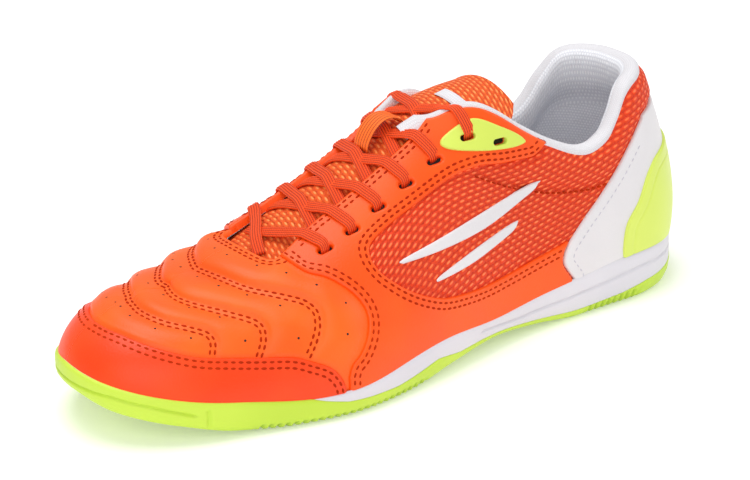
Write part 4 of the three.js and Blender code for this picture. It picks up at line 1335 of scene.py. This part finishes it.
def outsole_rows(rib, t):
    top = lip_height(rib, t)
    tall = top - rib["bottom"]
    start = np.clip(1 - rubber_share(t), 0, 1)
    line = top - start * tall
    rows = [(rib["reach"] - 4, line - 2), (rib["reach"] + wall_out(start) * 0.2, line - 0.1)]
    teeth = tread_teeth(rib["x"] - np.cos(rib["turn"]) * rib["reach"])
    for k in np.linspace(0, 1, 34):
        share = mix(start, 1, k)
        z = top - share * tall
        out = rib["reach"] + wall_out(share) - 0.5 * (1 - rim(k * tall * (1 - start), 0.8))
        out = out + groove(z, t, TOE_GROOVE, 1.1, 0.55, (-1, 2.25))
        low = smooth((z - 6) / 2) * smooth((16 - z) / 2)
        out = out - NOTCH_DEPTH * low * np.exp(-(((t - NOTCH_RIB) / 0.035) ** 2))
        cut = TOOTH_DEPTH * teeth * smooth((share - 0.72) / 0.2)
        rows.append((out - 1.1 * cut, z + 0.6 * cut))
    edge = rib["reach"] - 0.6 * SOLE_LIP
    for k in np.linspace(0, 1, 40)[1:]:
        out = edge * (1 - k)
        z = mix(rib["keel"], rib["bottom"], (1 - k) ** 2)
        x_here = rib["x"] - np.cos(rib["turn"]) * out
        slant = np.abs(out) * 0.35
        wave = np.abs(((x_here + slant) / (2 * TOOTH_PITCH)) % 1 - 0.5) * 2
        sunk = 1.4 * smooth((wave - 0.62) / 0.14) * smooth((out - 0.5) / 3)
        rows.append((out, z + np.maximum(sunk, TOOTH_DEPTH * 0.6 * teeth * (k < 0.05))))
    return rows


points, faces, maps = welded(*rib_loft(outsole_rows, SOLE_T))
add_piece("rubber_outsole", points, faces, LIME_RUBBER, ("outsole",), maps, flip=True)
points, faces, maps = welded(*rib_loft(midsole_rows, SOLE_T))
add_piece("foam_midsole", points, faces, WHITE_FOAM, ("midsole",), maps, flip=True)

# Tongue

TONGUE_CURVES = [natural_curve(column) for column in zip(*TONGUE_ROWS)]


def tongue_top(place, across):
    share, up, half, hang = (curve(place) for curve in TONGUE_CURVES)
    width = half * BALL_WIDTH
    z = SOLE_HEIGHT + up * height_at(share) - hang * width * across**2
    return np.stack([share * LENGTH + 0 * z, middle_at(share) + across * width, z], -1)


def tongue_place(share):
    places = np.linspace(0, len(TONGUE_ROWS) - 1, 400)
    return np.interp(share, TONGUE_CURVES[0](places), places)


TONGUE_AROUND = 72
TONGUE_END = 0.3  # rows over which the rear end rounds off
TONGUE_MAP = 24  # millimetres of map to each side of the middle
ROOM_OVER, ROOM_UNDER = 2.6, 4.6  # from the wall's outside to the tongue's two faces


def tongue_loop(place, thick):
    """Closed section of the tongue, rounded at its sides."""
    turn = np.linspace(0, 2 * np.pi, TONGUE_AROUND + 1)[:-1]
    across = np.sign(np.cos(turn)) * np.abs(np.cos(turn)) ** 0.75
    over = np.sin(turn)
    ahead = tongue_top(place + 0.02, across) - tongue_top(place - 0.02, across)
    wide = tongue_top(place, across + 0.01) - tongue_top(place, across - 0.01)
    out = unit(np.cross(ahead, wide))
    depth = np.where(over >= 0, thick * 0.25 * np.abs(over) ** 0.6, -thick * 0.95 * np.abs(over) ** 0.6)
    return tongue_top(place, across) + out * (depth - 0.25 * thick)[:, None], across, over


wall_t, wall_v = (k.ravel() for k in np.meshgrid(np.linspace(4.5, 11, 70), np.linspace(0.45, 1, 50)))
inner_wall, inner_out = surface(wall_t, wall_v, 1), outward(wall_t, wall_v, 1)


def under_wall(points, across, over, share):
    """Keeps the tongue's inner edge under the wall of the upper."""
    near = np.linalg.norm(points[:, None] - inner_wall, axis=2).argmin(1)
    room = np.where(over >= 0, ROOM_OVER, ROOM_UNDER)
    past = np.einsum("ij,ij->i", points - inner_wall[near], inner_out[near]) + room
    held = smooth((across - 0.3) / 0.25) * (1 - smooth((share - 0.6) / 0.04))
    return points - inner_out[near] * (np.clip(past, 0, None) * held)[:, None]


def tube_faces(rows, around, order=(0, 1, 2, 3)):
    """Faces of a closed tube of rings, with both ends shut."""
    faces = []
    for i in range(rows - 1):
        for j in range(around):
            a, b = i * around + j, i * around + (j + 1) % around
            corners = (a, b, b + around, a + around)
            faces.append(tuple(corners[k] for k in order))
    first, last = tuple(range(around)), tuple((rows - 1) * around + j for j in range(around))
    return faces + ([first[::-1], last] if order[1] == 1 else [first, last[::-1]])


points, maps = [], []
last_place = len(TONGUE_ROWS) - 1
closing = np.sin(np.linspace(0, np.pi / 2, 14))[1:]  # steps of the rounded rear end
places = np.linspace(0, last_place - TONGUE_END, 130)
places = np.concatenate([places, last_place - TONGUE_END * (1 - closing)])
for place in places:
    share = float(TONGUE_CURVES[0](place))
    into_end = np.clip((last_place - place) / TONGUE_END, 0, 1)
    puff = 1 + 0.18 * float(smooth((place - 6.2) / 0.6))
    end_round = max(math.sqrt(1 - (1 - into_end) ** 2), 0.05)
    loop, across, over = tongue_loop(place, TONGUE * puff * end_round)
    points.append(under_wall(loop, across, over, share))
    maps.append(np.column_stack([across * TONGUE_MAP, np.full(TONGUE_AROUND, LENGTH * share * 1.2)]))
faces = tube_faces(len(points), TONGUE_AROUND)
points, maps = np.vstack(points), np.vstack(maps)
tongue = add_piece(
    "padded_tongue", points, faces, TONGUE_MESH, ("tongue",), maps, flip=True
)

# Laces


def ground_tree(*names):
    spots, faces, count = [], [], 0
    for name in names:
        points, mine = built[name]
        spots.append(points)
        faces += [tuple(count + k for k in f) for f in mine]
        count += len(points)
    return BVHTree.FromPolygons(np.vstack(spots).tolist(), faces)


tongue_ground = ground_tree("padded_tongue")
lace_ground = ground_tree(
    "padded_tongue", "side_overlay_lateral_leather", "side_overlay_medial_leather",
    "eyelet_inset_lateral", "eyelet_inset_medial",
)


def ground_height(ground, x, y):
    start = Vector(in_frame([x, y, 200]).tolist())
    hit = ground.ray_cast(start, Vector((0, 0, -1)))[0]
    return hit.z * 1000 if hit else -FAR


def pulled_tight(run, heights):
    """Heights of a string pulled tight over the ground."""
    kept = [0]
    for k in range(1, len(run)):
        while len(kept) > 1:
            i, j = kept[-2:]
            over = heights[i] + (heights[k] - heights[i]) * (run[j] - run[i]) / (run[k] - run[i])
            if heights[j] > over:
                break
            kept.pop()
        kept.append(k)
    line = np.interp(run, run[kept], heights[kept])
    for _ in range(3):
        line[1:-1] = 0.5 * line[1:-1] + 0.25 * (line[:-2] + line[2:])
    return line


def lace_path(stations, hump, end_height, under):
    """Points over the ground along stations of (share, distance off the middle), and which way is out."""
    route = flowing_line([(share * LENGTH, off) for share, off in stations], 16)
    whole = run_along(route)
    run = np.linspace(0, whole[-1], 48)
    x, off = np.interp(run, whole, route[:, 0]), np.interp(run, whole, route[:, 1])
    y = middle_at(x / LENGTH) + off
    flat = np.column_stack([x, y])
    ahead = unit(np.gradient(flat, axis=0))
    wide = np.column_stack([-ahead[:, 1], ahead[:, 0]]) * LACE_WIDTH * 0.4
    tilt, heights = [], []
    for (px, py), (wx, wy), o in zip(flat, wide, off):
        below_edge = under and o * off[0] > 0 and abs(o) > THROAT_HALF - 2.5
        ground = tongue_ground if below_edge else lace_ground
        left, mid, right = (ground_height(ground, px + k * wx, py + k * wy) for k in (-1, 0, 1))
        heights.append(max(mid, 0.5 * (left + right)) + hump * math.exp(-((o / 4) ** 2)))
        tilt.append(right - left)
    heights = np.array(heights)
    heights[-4:] = end_height
    z = pulled_tight(run, np.maximum(heights, 20)) + LACE_THICK / 2 + 0.15
    points = np.column_stack([flat, z])
    tilt = np.convolve(np.pad(np.clip(tilt, -3, 3), 4, "edge"), np.ones(9) / 9, "valid")
    return points, unit(np.cross(np.gradient(points, axis=0), np.column_stack([wide, tilt / 2])))


def ribbed_band(points, ups, width, thick, ribs, narrow=None):
    """Flat woven band with lengthwise ribs along points."""
    count = 8 * ribs + 1
    a = np.linspace(-0.5, 0.5, count)
    edge = np.sqrt(np.maximum(1 - (2 * a) ** 4, 0))
    top = 0.5 * thick * edge * (0.83 - 0.17 * np.cos(2 * np.pi * ribs * a))
    section = np.array([*zip(a, top), *zip(a[-2:0:-1], -top[-2:0:-1])])
    along = unit(np.gradient(points, axis=0))
    across = unit(np.cross(ups, along))
    up = unit(np.cross(along, across))
    narrow = np.ones(len(points)) if narrow is None else narrow
    reach = (section[:, 0] * width)[None, :, None] * narrow[:, None, None]
    rings = points[:, None] + across[:, None] * reach
    rings = rings + up[:, None] * section[:, 1][None, :, None]
    faces = tube_faces(len(points), len(section), (0, 3, 2, 1))
    run = run_along(points)[:, None]
    maps = np.stack(np.broadcast_arrays(run, section[:, 0] * width), -1)
    return rings.reshape(-1, 3), faces, maps.reshape(-1, 2)


def add_laces(name, replaced, *parts):
    """One piece from several laces."""
    points, faces, maps, count = [], [], [], 0
    for p, f, m in parts:
        points.append(p)
        faces += [tuple(count + k for k in face) for face in f]
        maps.append(m)
        count += len(p)
    points, maps = np.vstack(points), np.vstack(maps)
    add_piece(name, points, faces, LACE_WEAVE, (replaced,), maps, flip=True)


# Where a lace goes under the far edge of the throat, off the middle and further along.
UNDER_OFF = THROAT_HALF + 2
UNDER_SHIFT = 0.012
SLOT_PAST = 1.3  # a lace turns down into its slot just past the slot's middle
TOP_SLOT_PAST = 1.6  # the top slot lies in the thicker patch
OVER = 1.1 * LACE_THICK  # rise of a lace where it lies over another
SLOT_DIVE = (3.6, 3.6)  # length of the bent end and how deep it goes
EDGE_DIVE = (5.0, 2.4)


def dive(points, ups, reach, drop, last=True):
    """Bends an end of a lace down, and tells how far into the bend each point is."""
    run = run_along(points)
    left = run[-1] - run if last else run
    k = np.clip(1 - left / reach, 0, 1)
    return points - ups * (drop * k**2)[:, None], k


def lace_piece(stations, side, slot, hump=0.0, under=True):
    """Lace that ends in an eyelet slot; its other end goes under the far edge or lies on top."""
    middle, out = SEATS[side][slot]
    past = SLOT_PAST + (TOP_SLOT_PAST if slot == len(EYELETS) - 1 else 0)
    off = abs(middle[1] - middle_at(middle[0] / LENGTH)) + past
    stations = [*stations, ((middle[0] + 0.7) / LENGTH, side * off)]
    points, ups = lace_path(stations, hump, middle[2] + LEATHER * out[2] - 0.4, under)
    points, into = dive(points, ups, *SLOT_DIVE)
    if under:
        points, _ = dive(points, ups, *EDGE_DIVE, last=False)
    return ribbed_band(points, ups, LACE_WIDTH, LACE_THICK, LACE_RIBS, 1 - 0.12 * into)


for n in range(len(EYELETS) - 1):
    near, far = EYELETS[n] + UNDER_SHIFT, EYELETS[n + 1]
    over = lace_piece([(near, -UNDER_OFF), (far - UNDER_SHIFT / 2, THROAT_HALF)], 1, n + 1, OVER)
    below = lace_piece([(near, UNDER_OFF), (far - UNDER_SHIFT, -THROAT_HALF)], -1, n + 1)
    add_laces(f"laces_{n + 1}", f"lace_crossing_{n + 1}", over, below)

bar_at = EYELETS[0]
below = lace_piece([(bar_at - 0.036, 10), (bar_at - 0.036, 0), (bar_at - 0.02, -14)], -1, 0, under=False)
over = lace_piece([(bar_at - 0.062, -9), (bar_at - 0.05, -1), (bar_at - 0.024, 10)], 1, 0, OVER, False)
add_laces("laces_bar", "lace_bar", below, over)

KEEPER_STEPS = 40
KEEPER_LIFT = 1.2
keeper_ends = [float(tongue_place(share)) for share in (KEEPER_FROM, KEEPER_TO)]
base = tongue_top(np.linspace(*keeper_ends, KEEPER_STEPS), np.zeros(KEEPER_STEPS))
slope = unit(np.gradient(base, axis=0))
keeper_up = np.column_stack([-slope[:, 2], np.zeros(KEEPER_STEPS), slope[:, 0]])
arch = KEEPER_RISE * np.sin(np.pi * np.linspace(0, 1, KEEPER_STEPS)) ** 0.6
arched = base + keeper_up * (KEEPER_LIFT + arch)[:, None]
points, faces, maps = ribbed_band(arched, keeper_up, KEEPER_WIDTH, KEEPER_THICK, KEEPER_RIBS)
add_piece("keeper_loop", points, faces, KEEPER_WEAVE, ("lace_keeper",), maps, flip=True)

# Stitches, and dark discs of painted shade in the pinholes and eyelet wells


def level_lines(depth, level, t_span, v_span, side, step=1.0):
    """Lines at one depth inside a piece, as points on the last."""
    sheet = parameter_sheet(depth, t_span, v_span, side, step)
    cut = cut_sheet(sheet, level)
    links = {}
    for edge in cut:
        if isinstance(edge, bmesh.types.BMEdge):
            a, b = edge.verts
            links.setdefault(a, []).append(b)
            links.setdefault(b, []).append(a)
    lines = []
    while links:
        ends = [v for v, near in links.items() if len(near) == 1]
        spot = ends[0] if ends else next(iter(links))
        chain = [spot]
        while links.get(spot):
            ahead = links[spot].pop()
            links[ahead].remove(spot)
            if not links[spot]:
                del links[spot]
            spot = ahead
            chain.append(spot)
        links.pop(spot, None)
        if len(chain) > 8:
            t, v, _ = np.array([c.co for c in chain]).T
            lines.append(surface(t, v, side))
    sheet.free()
    return lines


def moved_line(line, side, away):
    """A line shifted sideways over the surface, towards the toe for a positive distance."""
    along = unit(np.gradient(line, axis=0))
    normals = unit(np.tile([0, side * 0.7, 0.7], (len(line), 1)))
    across = unit(np.cross(normals, along))
    if (across[:, 0]).mean() > 0:
        across = -across
    return line + across * away


def at_runs(line, run, at):
    return np.column_stack([np.interp(at, run, line[:, k]) for k in range(3)])


def everywhere(spots):
    return np.ones(len(spots), bool)


def stitch_seats(lines, ground, pitch, keep=everywhere):
    """Middle, outward and forward direction of each stitch along the lines."""
    seats = []
    for line in lines:
        line = line[keep(line)]
        if len(line) < 3:
            continue
        run = run_along(line)
        at = np.arange(pitch / 2, run[-1], pitch)
        spots = at_runs(line, run, at)
        ahead = at_runs(line, run, at + 0.6) - at_runs(line, run, at - 0.6)
        for spot, way in zip(spots, ahead):
            hit, out, _, far = ground.find_nearest(Vector(in_frame(spot).tolist()))
            if hit is None or far > 0.006 or np.linalg.norm(way) < 1e-6:
                continue
            seats.append((np.array(hit), np.array(out), way))
    return seats


def repeat_tree():
    """Nodes that set one shape on every point, turned as the point says."""
    tree = bpy.data.node_groups.new("Set along seams", "GeometryNodeTree")
    for name, kind, value in (
        ("Points", "Geometry", None), ("Shape", "Object", None), ("Size", "Float", 1.0),
        ("Unevenness", "Float", 0.06), ("Seed", "Int", 7), ("Finish", "Material", None),
    ):
        socket = tree.interface.new_socket(name, in_out="INPUT", socket_type="NodeSocket" + kind)
        if value is not None:
            socket.default_value = value
    tree.interface.new_socket("Pieces", in_out="OUTPUT", socket_type="NodeSocketGeometry")
    inputs, outputs = tree.nodes.new("NodeGroupInput"), tree.nodes.new("NodeGroupOutput")
    shape = tree.nodes.new("GeometryNodeObjectInfo")
    place = tree.nodes.new("GeometryNodeInstanceOnPoints")
    turn = add_node(tree, "GeometryNodeInputNamedAttribute", data_type="FLOAT_VECTOR")
    turn.inputs["Name"].default_value = "turn"
    spin = tree.nodes.new("FunctionNodeEulerToRotation")
    uneven = add_node(tree, "FunctionNodeRandomValue", data_type="FLOAT")
    low = add_node(tree, "ShaderNodeMath", operation="SUBTRACT")
    high = add_node(tree, "ShaderNodeMath", operation="ADD")
    size = add_node(tree, "ShaderNodeMath", operation="MULTIPLY")
    real = tree.nodes.new("GeometryNodeRealizeInstances")
    finish = tree.nodes.new("GeometryNodeSetMaterial")
    low.inputs[0].default_value = high.inputs[0].default_value = 1.0
    pairs = (
        (inputs.outputs["Shape"], shape.inputs["Object"]),
        (inputs.outputs["Points"], place.inputs["Points"]),
        (shape.outputs["Geometry"], place.inputs["Instance"]),
        (turn.outputs[0], spin.inputs["Euler"]),
        (spin.outputs["Rotation"], place.inputs["Rotation"]),
        (inputs.outputs["Unevenness"], low.inputs[1]),
        (inputs.outputs["Unevenness"], high.inputs[1]),
        (low.outputs[0], uneven.inputs[2]),
        (high.outputs[0], uneven.inputs[3]),
        (inputs.outputs["Seed"], uneven.inputs["Seed"]),
        (uneven.outputs[1], size.inputs[0]),
        (inputs.outputs["Size"], size.inputs[1]),
        (size.outputs[0], place.inputs["Scale"]),
        (place.outputs["Instances"], real.inputs["Geometry"]),
        (real.outputs["Geometry"], finish.inputs["Geometry"]),
        (inputs.outputs["Finish"], finish.inputs["Material"]),
        (finish.outputs["Geometry"], outputs.inputs["Pieces"]),
    )
    for a, b in pairs:
        tree.links.new(a, b)
    return tree


SET_ALONG = repeat_tree()


def bead_mesh(long, wide, tall):
    """Rounded bead along X from sizes in millimetres, as a mesh in metres."""
    shape = bmesh.new()
    bmesh.ops.create_uvsphere(shape, u_segments=8, v_segments=6, radius=0.5)
    for vert in shape.verts:
        x, y, z = vert.co
        vert.co = (z * long, y * wide, x * tall)
        vert.co *= 0.001
    bmesh.ops.recalc_face_normals(shape, faces=shape.faces[:])
    mesh = bpy.data.meshes.new("bead")
    shape.to_mesh(mesh)
    shape.free()
    mesh.polygons.foreach_set("use_smooth", np.ones(len(mesh.polygons), bool))
    return mesh


def set_along(name, seats, bead, material, unevenness=0.06):
    """One piece with a bead set at every seat."""
    mesh = bpy.data.meshes.new(name + " points")
    mesh.from_pydata([seat[0].tolist() for seat in seats], [], [])
    turns = []
    for _, out, way in seats:
        up = Vector(out).normalized()
        ahead = Vector(way) - up * up.dot(Vector(way))
        ahead.normalize()
        side = up.cross(ahead)
        turns.append(Matrix((ahead, side, up)).transposed().to_euler())
    turn = mesh.attributes.new("turn", "FLOAT_VECTOR", "POINT")
    turn.data.foreach_set("vector", np.array([tuple(e) for e in turns], np.float32).ravel())
    holder = add_object(name + " points", mesh)
    pattern = add_object(name + " shape", bead_mesh(*bead))
    modifier = holder.modifiers.new("set along", "NODES")
    modifier.node_group = SET_ALONG
    values = {"Shape": pattern, "Size": 1.0, "Unevenness": unevenness, "Seed": 7, "Finish": material}
    for socket in SET_ALONG.interface.items_tree:
        if socket.in_out == "INPUT" and socket.name in values:
            modifier[socket.identifier] = values[socket.name]
    bpy.context.view_layer.update()
    ready = holder.evaluated_get(bpy.context.evaluated_depsgraph_get())
    result = bpy.data.meshes.new_from_object(ready)
    holder.modifiers.remove(modifier)
    for thing in (holder, pattern):
        bpy.data.objects.remove(thing)
    result.name = name
    piece = add_object(name, result)
    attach(piece, "root")
    return piece


vamp_ground = ground_tree("vamp")
front_ground = dict.fromkeys((-1, 1), vamp_ground)
cap_ground = dict.fromkeys((-1, 1), ground_tree("toe_cap"))
heel_ground = ground_tree("heel_wrap")
mesh_ground = ground_tree("quarter_mesh")
side_ground = {side: ground_tree(f"side_overlay_{word}_leather") for word, side in SIDES}


def outside_of(depth):
    return lambda spots, normals, side: -depth(spots, normals, side)


def beside_throat(spots):
    return np.abs(spots[:, 1] - middle_at(spots[:, 0] / LENGTH)) > THROAT_HALF + 2


def between(low, high):
    """Keeps the spots that lie between two shares of the length."""
    return lambda spots: (spots[:, 0] > low * LENGTH) & (spots[:, 0] < high * LENGTH)


def round_window(spots):
    return (spots[:, 0] < 0.765 * LENGTH) & (spots[:, 2] > 16)


SEAM_STITCH = (2.2, 1.0, 0.7)  # long, wide and tall
HEEL_STITCH = (1.9, 0.6, 0.35)
PINHOLE = (1.0, 1.0, 0.12)
EYELET_WELL = (EYELET_LONG + 2.4, EYELET_WIDE + 2.4, 0.3)
STITCH_PITCH = 3.2
FINE_PITCH = 3.0
QUILT_ROWS = (0.7, 2.7)  # in front of a quilting seam
EDGE_ROWS = (1.9, 4.3)  # in from an edge
SEAM_ROW = -0.9  # under the collar seam
HEEL_ROW = 4.6
# Double rows: the edge they follow, where they are looked for, what they lie on, and which part is kept.
DOUBLE_ROWS = (
    (toe_depth, (0, 5.4), (0, 0.62), cap_ground, everywhere),
    (vamp_front_depth, (4.4, 6.5), (0.02, 0.97), side_ground, beside_throat),
    (outside_of(window_depth), (5, 10), (0, 0.97), side_ground, round_window),
    (outside_of(throat_depth), (4.9, 8.3), (0.4, 1), side_ground, between(0.335, 0.57)),
    (outside_of(throat_depth), (4, 5.5), (0.6, 1), front_ground, between(0, 0.322)),
)
above_seam_depth = outline_depth(above_seam)

seats = []
for side in (-1, 1):
    for line in quilt_lines[side]:
        for away in QUILT_ROWS:
            seats += stitch_seats([moved_line(line, side, away)], vamp_ground, STITCH_PITCH)
    for level in EDGE_ROWS:
        for depth, t_span, v_span, ground, keep in DOUBLE_ROWS:
            lines = level_lines(depth, level, t_span, v_span, side)
            seats += stitch_seats(lines, ground[side], STITCH_PITCH, keep)
    lines = level_lines(above_seam_depth, SEAM_ROW, (7, LAST), (0.3, 1), side)
    seats += stitch_seats(lines, mesh_ground, FINE_PITCH, between(0.6, 0.84))
set_along("seam_stitches", seats, SEAM_STITCH, THREAD_WITH_DIMPLE_SHADE)

seats = []
for side in (-1, 1):
    lines = level_lines(counter_depth, HEEL_ROW, (8.6, LAST), (0, 0.9), side)
    seats += stitch_seats(lines, heel_ground, FINE_PITCH, between(0, 0.9))
set_along("heel_stitches", seats, HEEL_STITCH, PALE_THREAD)

# Pinholes: a dark disc of painted shade on the vamp at each one
seats = []
for side in (-1, 1):
    for row in PINHOLES:
        for t, v in row:
            spot = Vector(in_frame(surface(t, v, side)).tolist())
            hit, out = vamp_ground.find_nearest(spot)[:2]
            seats.append((np.array(hit) + np.array(out) * 0.00003, np.array(out), (1.0, 0.0, 0.0)))
set_along("pinholes", seats, PINHOLE, HOLE_SHADE, 0.1)

# Eyelet wells: a dark disc of painted shade under each slot, inside the wall
seats = [
    (in_frame(middle - out * 1.0), out, slot_way(out))
    for side in (-1, 1) for middle, out in SEATS[side]
]
set_along("eyelet_wells", seats, EYELET_WELL, HOLE_SHADE, 0.0)

# Bare label on the tongue

LABEL_SPAN = (0.63, 0.65)  # shares of LENGTH
LABEL_MIDDLE = -0.16  # across the tongue, in shares of its half width
LABEL_HALF = 0.28
start, end = (float(tongue_place(share)) for share in LABEL_SPAN)
points, maps = [], []
for place in np.linspace(start, end, 16):
    for across in np.linspace(LABEL_MIDDLE - LABEL_HALF, LABEL_MIDDLE + LABEL_HALF, 30):
        from_ends = min(place - start, end - place)
        edge = min(1, 14 * from_ends, 8 * (LABEL_HALF - abs(across - LABEL_MIDDLE)))
        rise = np.array([-0.2, 0, 1.0]) * (0.4 + 0.7 * math.sqrt(max(edge, 0)))
        points.append(tongue_top(place, np.array(across)) + rise)
        maps.append((across * TONGUE_MAP, place * 12))
add_piece("blank_label", np.array(points), strip_faces(16, 30), ROLL_CLOTH, (), maps)

# Floor, light and camera

FLOOR_HALF = 9
FLOOR_GLOW = 0.22
SKY = 0.5

floor_mesh = bpy.data.meshes.new("floor")
corners = [(x * FLOOR_HALF, y * FLOOR_HALF, 0) for x, y in ((-1, -1), (1, -1), (1, 1), (-1, 1))]
floor_mesh.from_pydata(corners, [], [(0, 1, 2, 3)])
floor = add_object("floor", floor_mesh)
floor_look, _, floor_shader = new_material("pale floor", (0.9, 0.9, 0.9), 0.7)
floor_shader.inputs["Emission Color"].default_value = (1, 1, 1, 1)
floor_shader.inputs["Emission Strength"].default_value = FLOOR_GLOW
floor_mesh.materials.append(floor_look)

world = bpy.data.worlds.new("studio")
world.use_nodes = True
sky = world.node_tree.nodes["Background"]
sky.inputs["Color"].default_value = (1, 1, 1, 1)
sky.inputs["Strength"].default_value = SKY
bpy.context.scene.world = world


def softbox(name, where, width, height, power):
    light = bpy.data.lights.new(name, "AREA")
    light.shape = "RECTANGLE"
    light.size, light.size_y = width, height
    light.energy = power
    lamp = add_object(name, light)
    lamp.location = where
    lamp.rotation_euler = (-Vector(where)).to_track_quat("-Z", "Y").to_euler()


softbox("overhead", (-0.15, 0.15, 1.1), 0.9, 0.7, 8)
softbox("front left", (-0.9, -0.9, 0.7), 1.3, 1.0, 7)
softbox("right side", (1.0, -0.5, 0.6), 1.0, 0.8, 3.5)

# Camera fitted to the photo: where it looks from, how far off it stands, and how its picture is shifted.
AZIMUTH, ELEVATION, ROLL = (math.radians(angle) for angle in (-36, 23, -1.15))
LOOKED_AT = np.array([146, 0, 40])
DISTANCE = 1606
PICTURE_WIDTH = 750
FOCUS = 3850  # in picture points, as the two shifts are
SHIFT_X, SHIFT_Y = 5, 12.2
SENSOR = 36

flat = math.cos(ELEVATION)
back = np.array([math.sin(AZIMUTH) * flat, -math.cos(AZIMUTH) * flat, math.sin(ELEVATION)])
right = unit(np.cross(-back, [0, 0, 1]))
up = np.cross(right, -back)
right, up = (
    math.cos(ROLL) * right + math.sin(ROLL) * up,
    math.cos(ROLL) * up - math.sin(ROLL) * right,
)
camera_data = bpy.data.cameras.new("camera")
camera = add_object("camera", camera_data)
turned = Matrix((right, up, back)).transposed().to_4x4()
turned.translation = Vector(in_frame(LOOKED_AT + back * DISTANCE).tolist())
camera.matrix_world = turned
camera_data.sensor_width = SENSOR
camera_data.lens = SENSOR * FOCUS / PICTURE_WIDTH
camera_data.shift_x = SHIFT_X / PICTURE_WIDTH
camera_data.shift_y = SHIFT_Y / PICTURE_WIDTH
camera_data.clip_end = 50
bpy.context.scene.camera = camera
bpy.context.scene.view_settings.view_transform = "Standard"
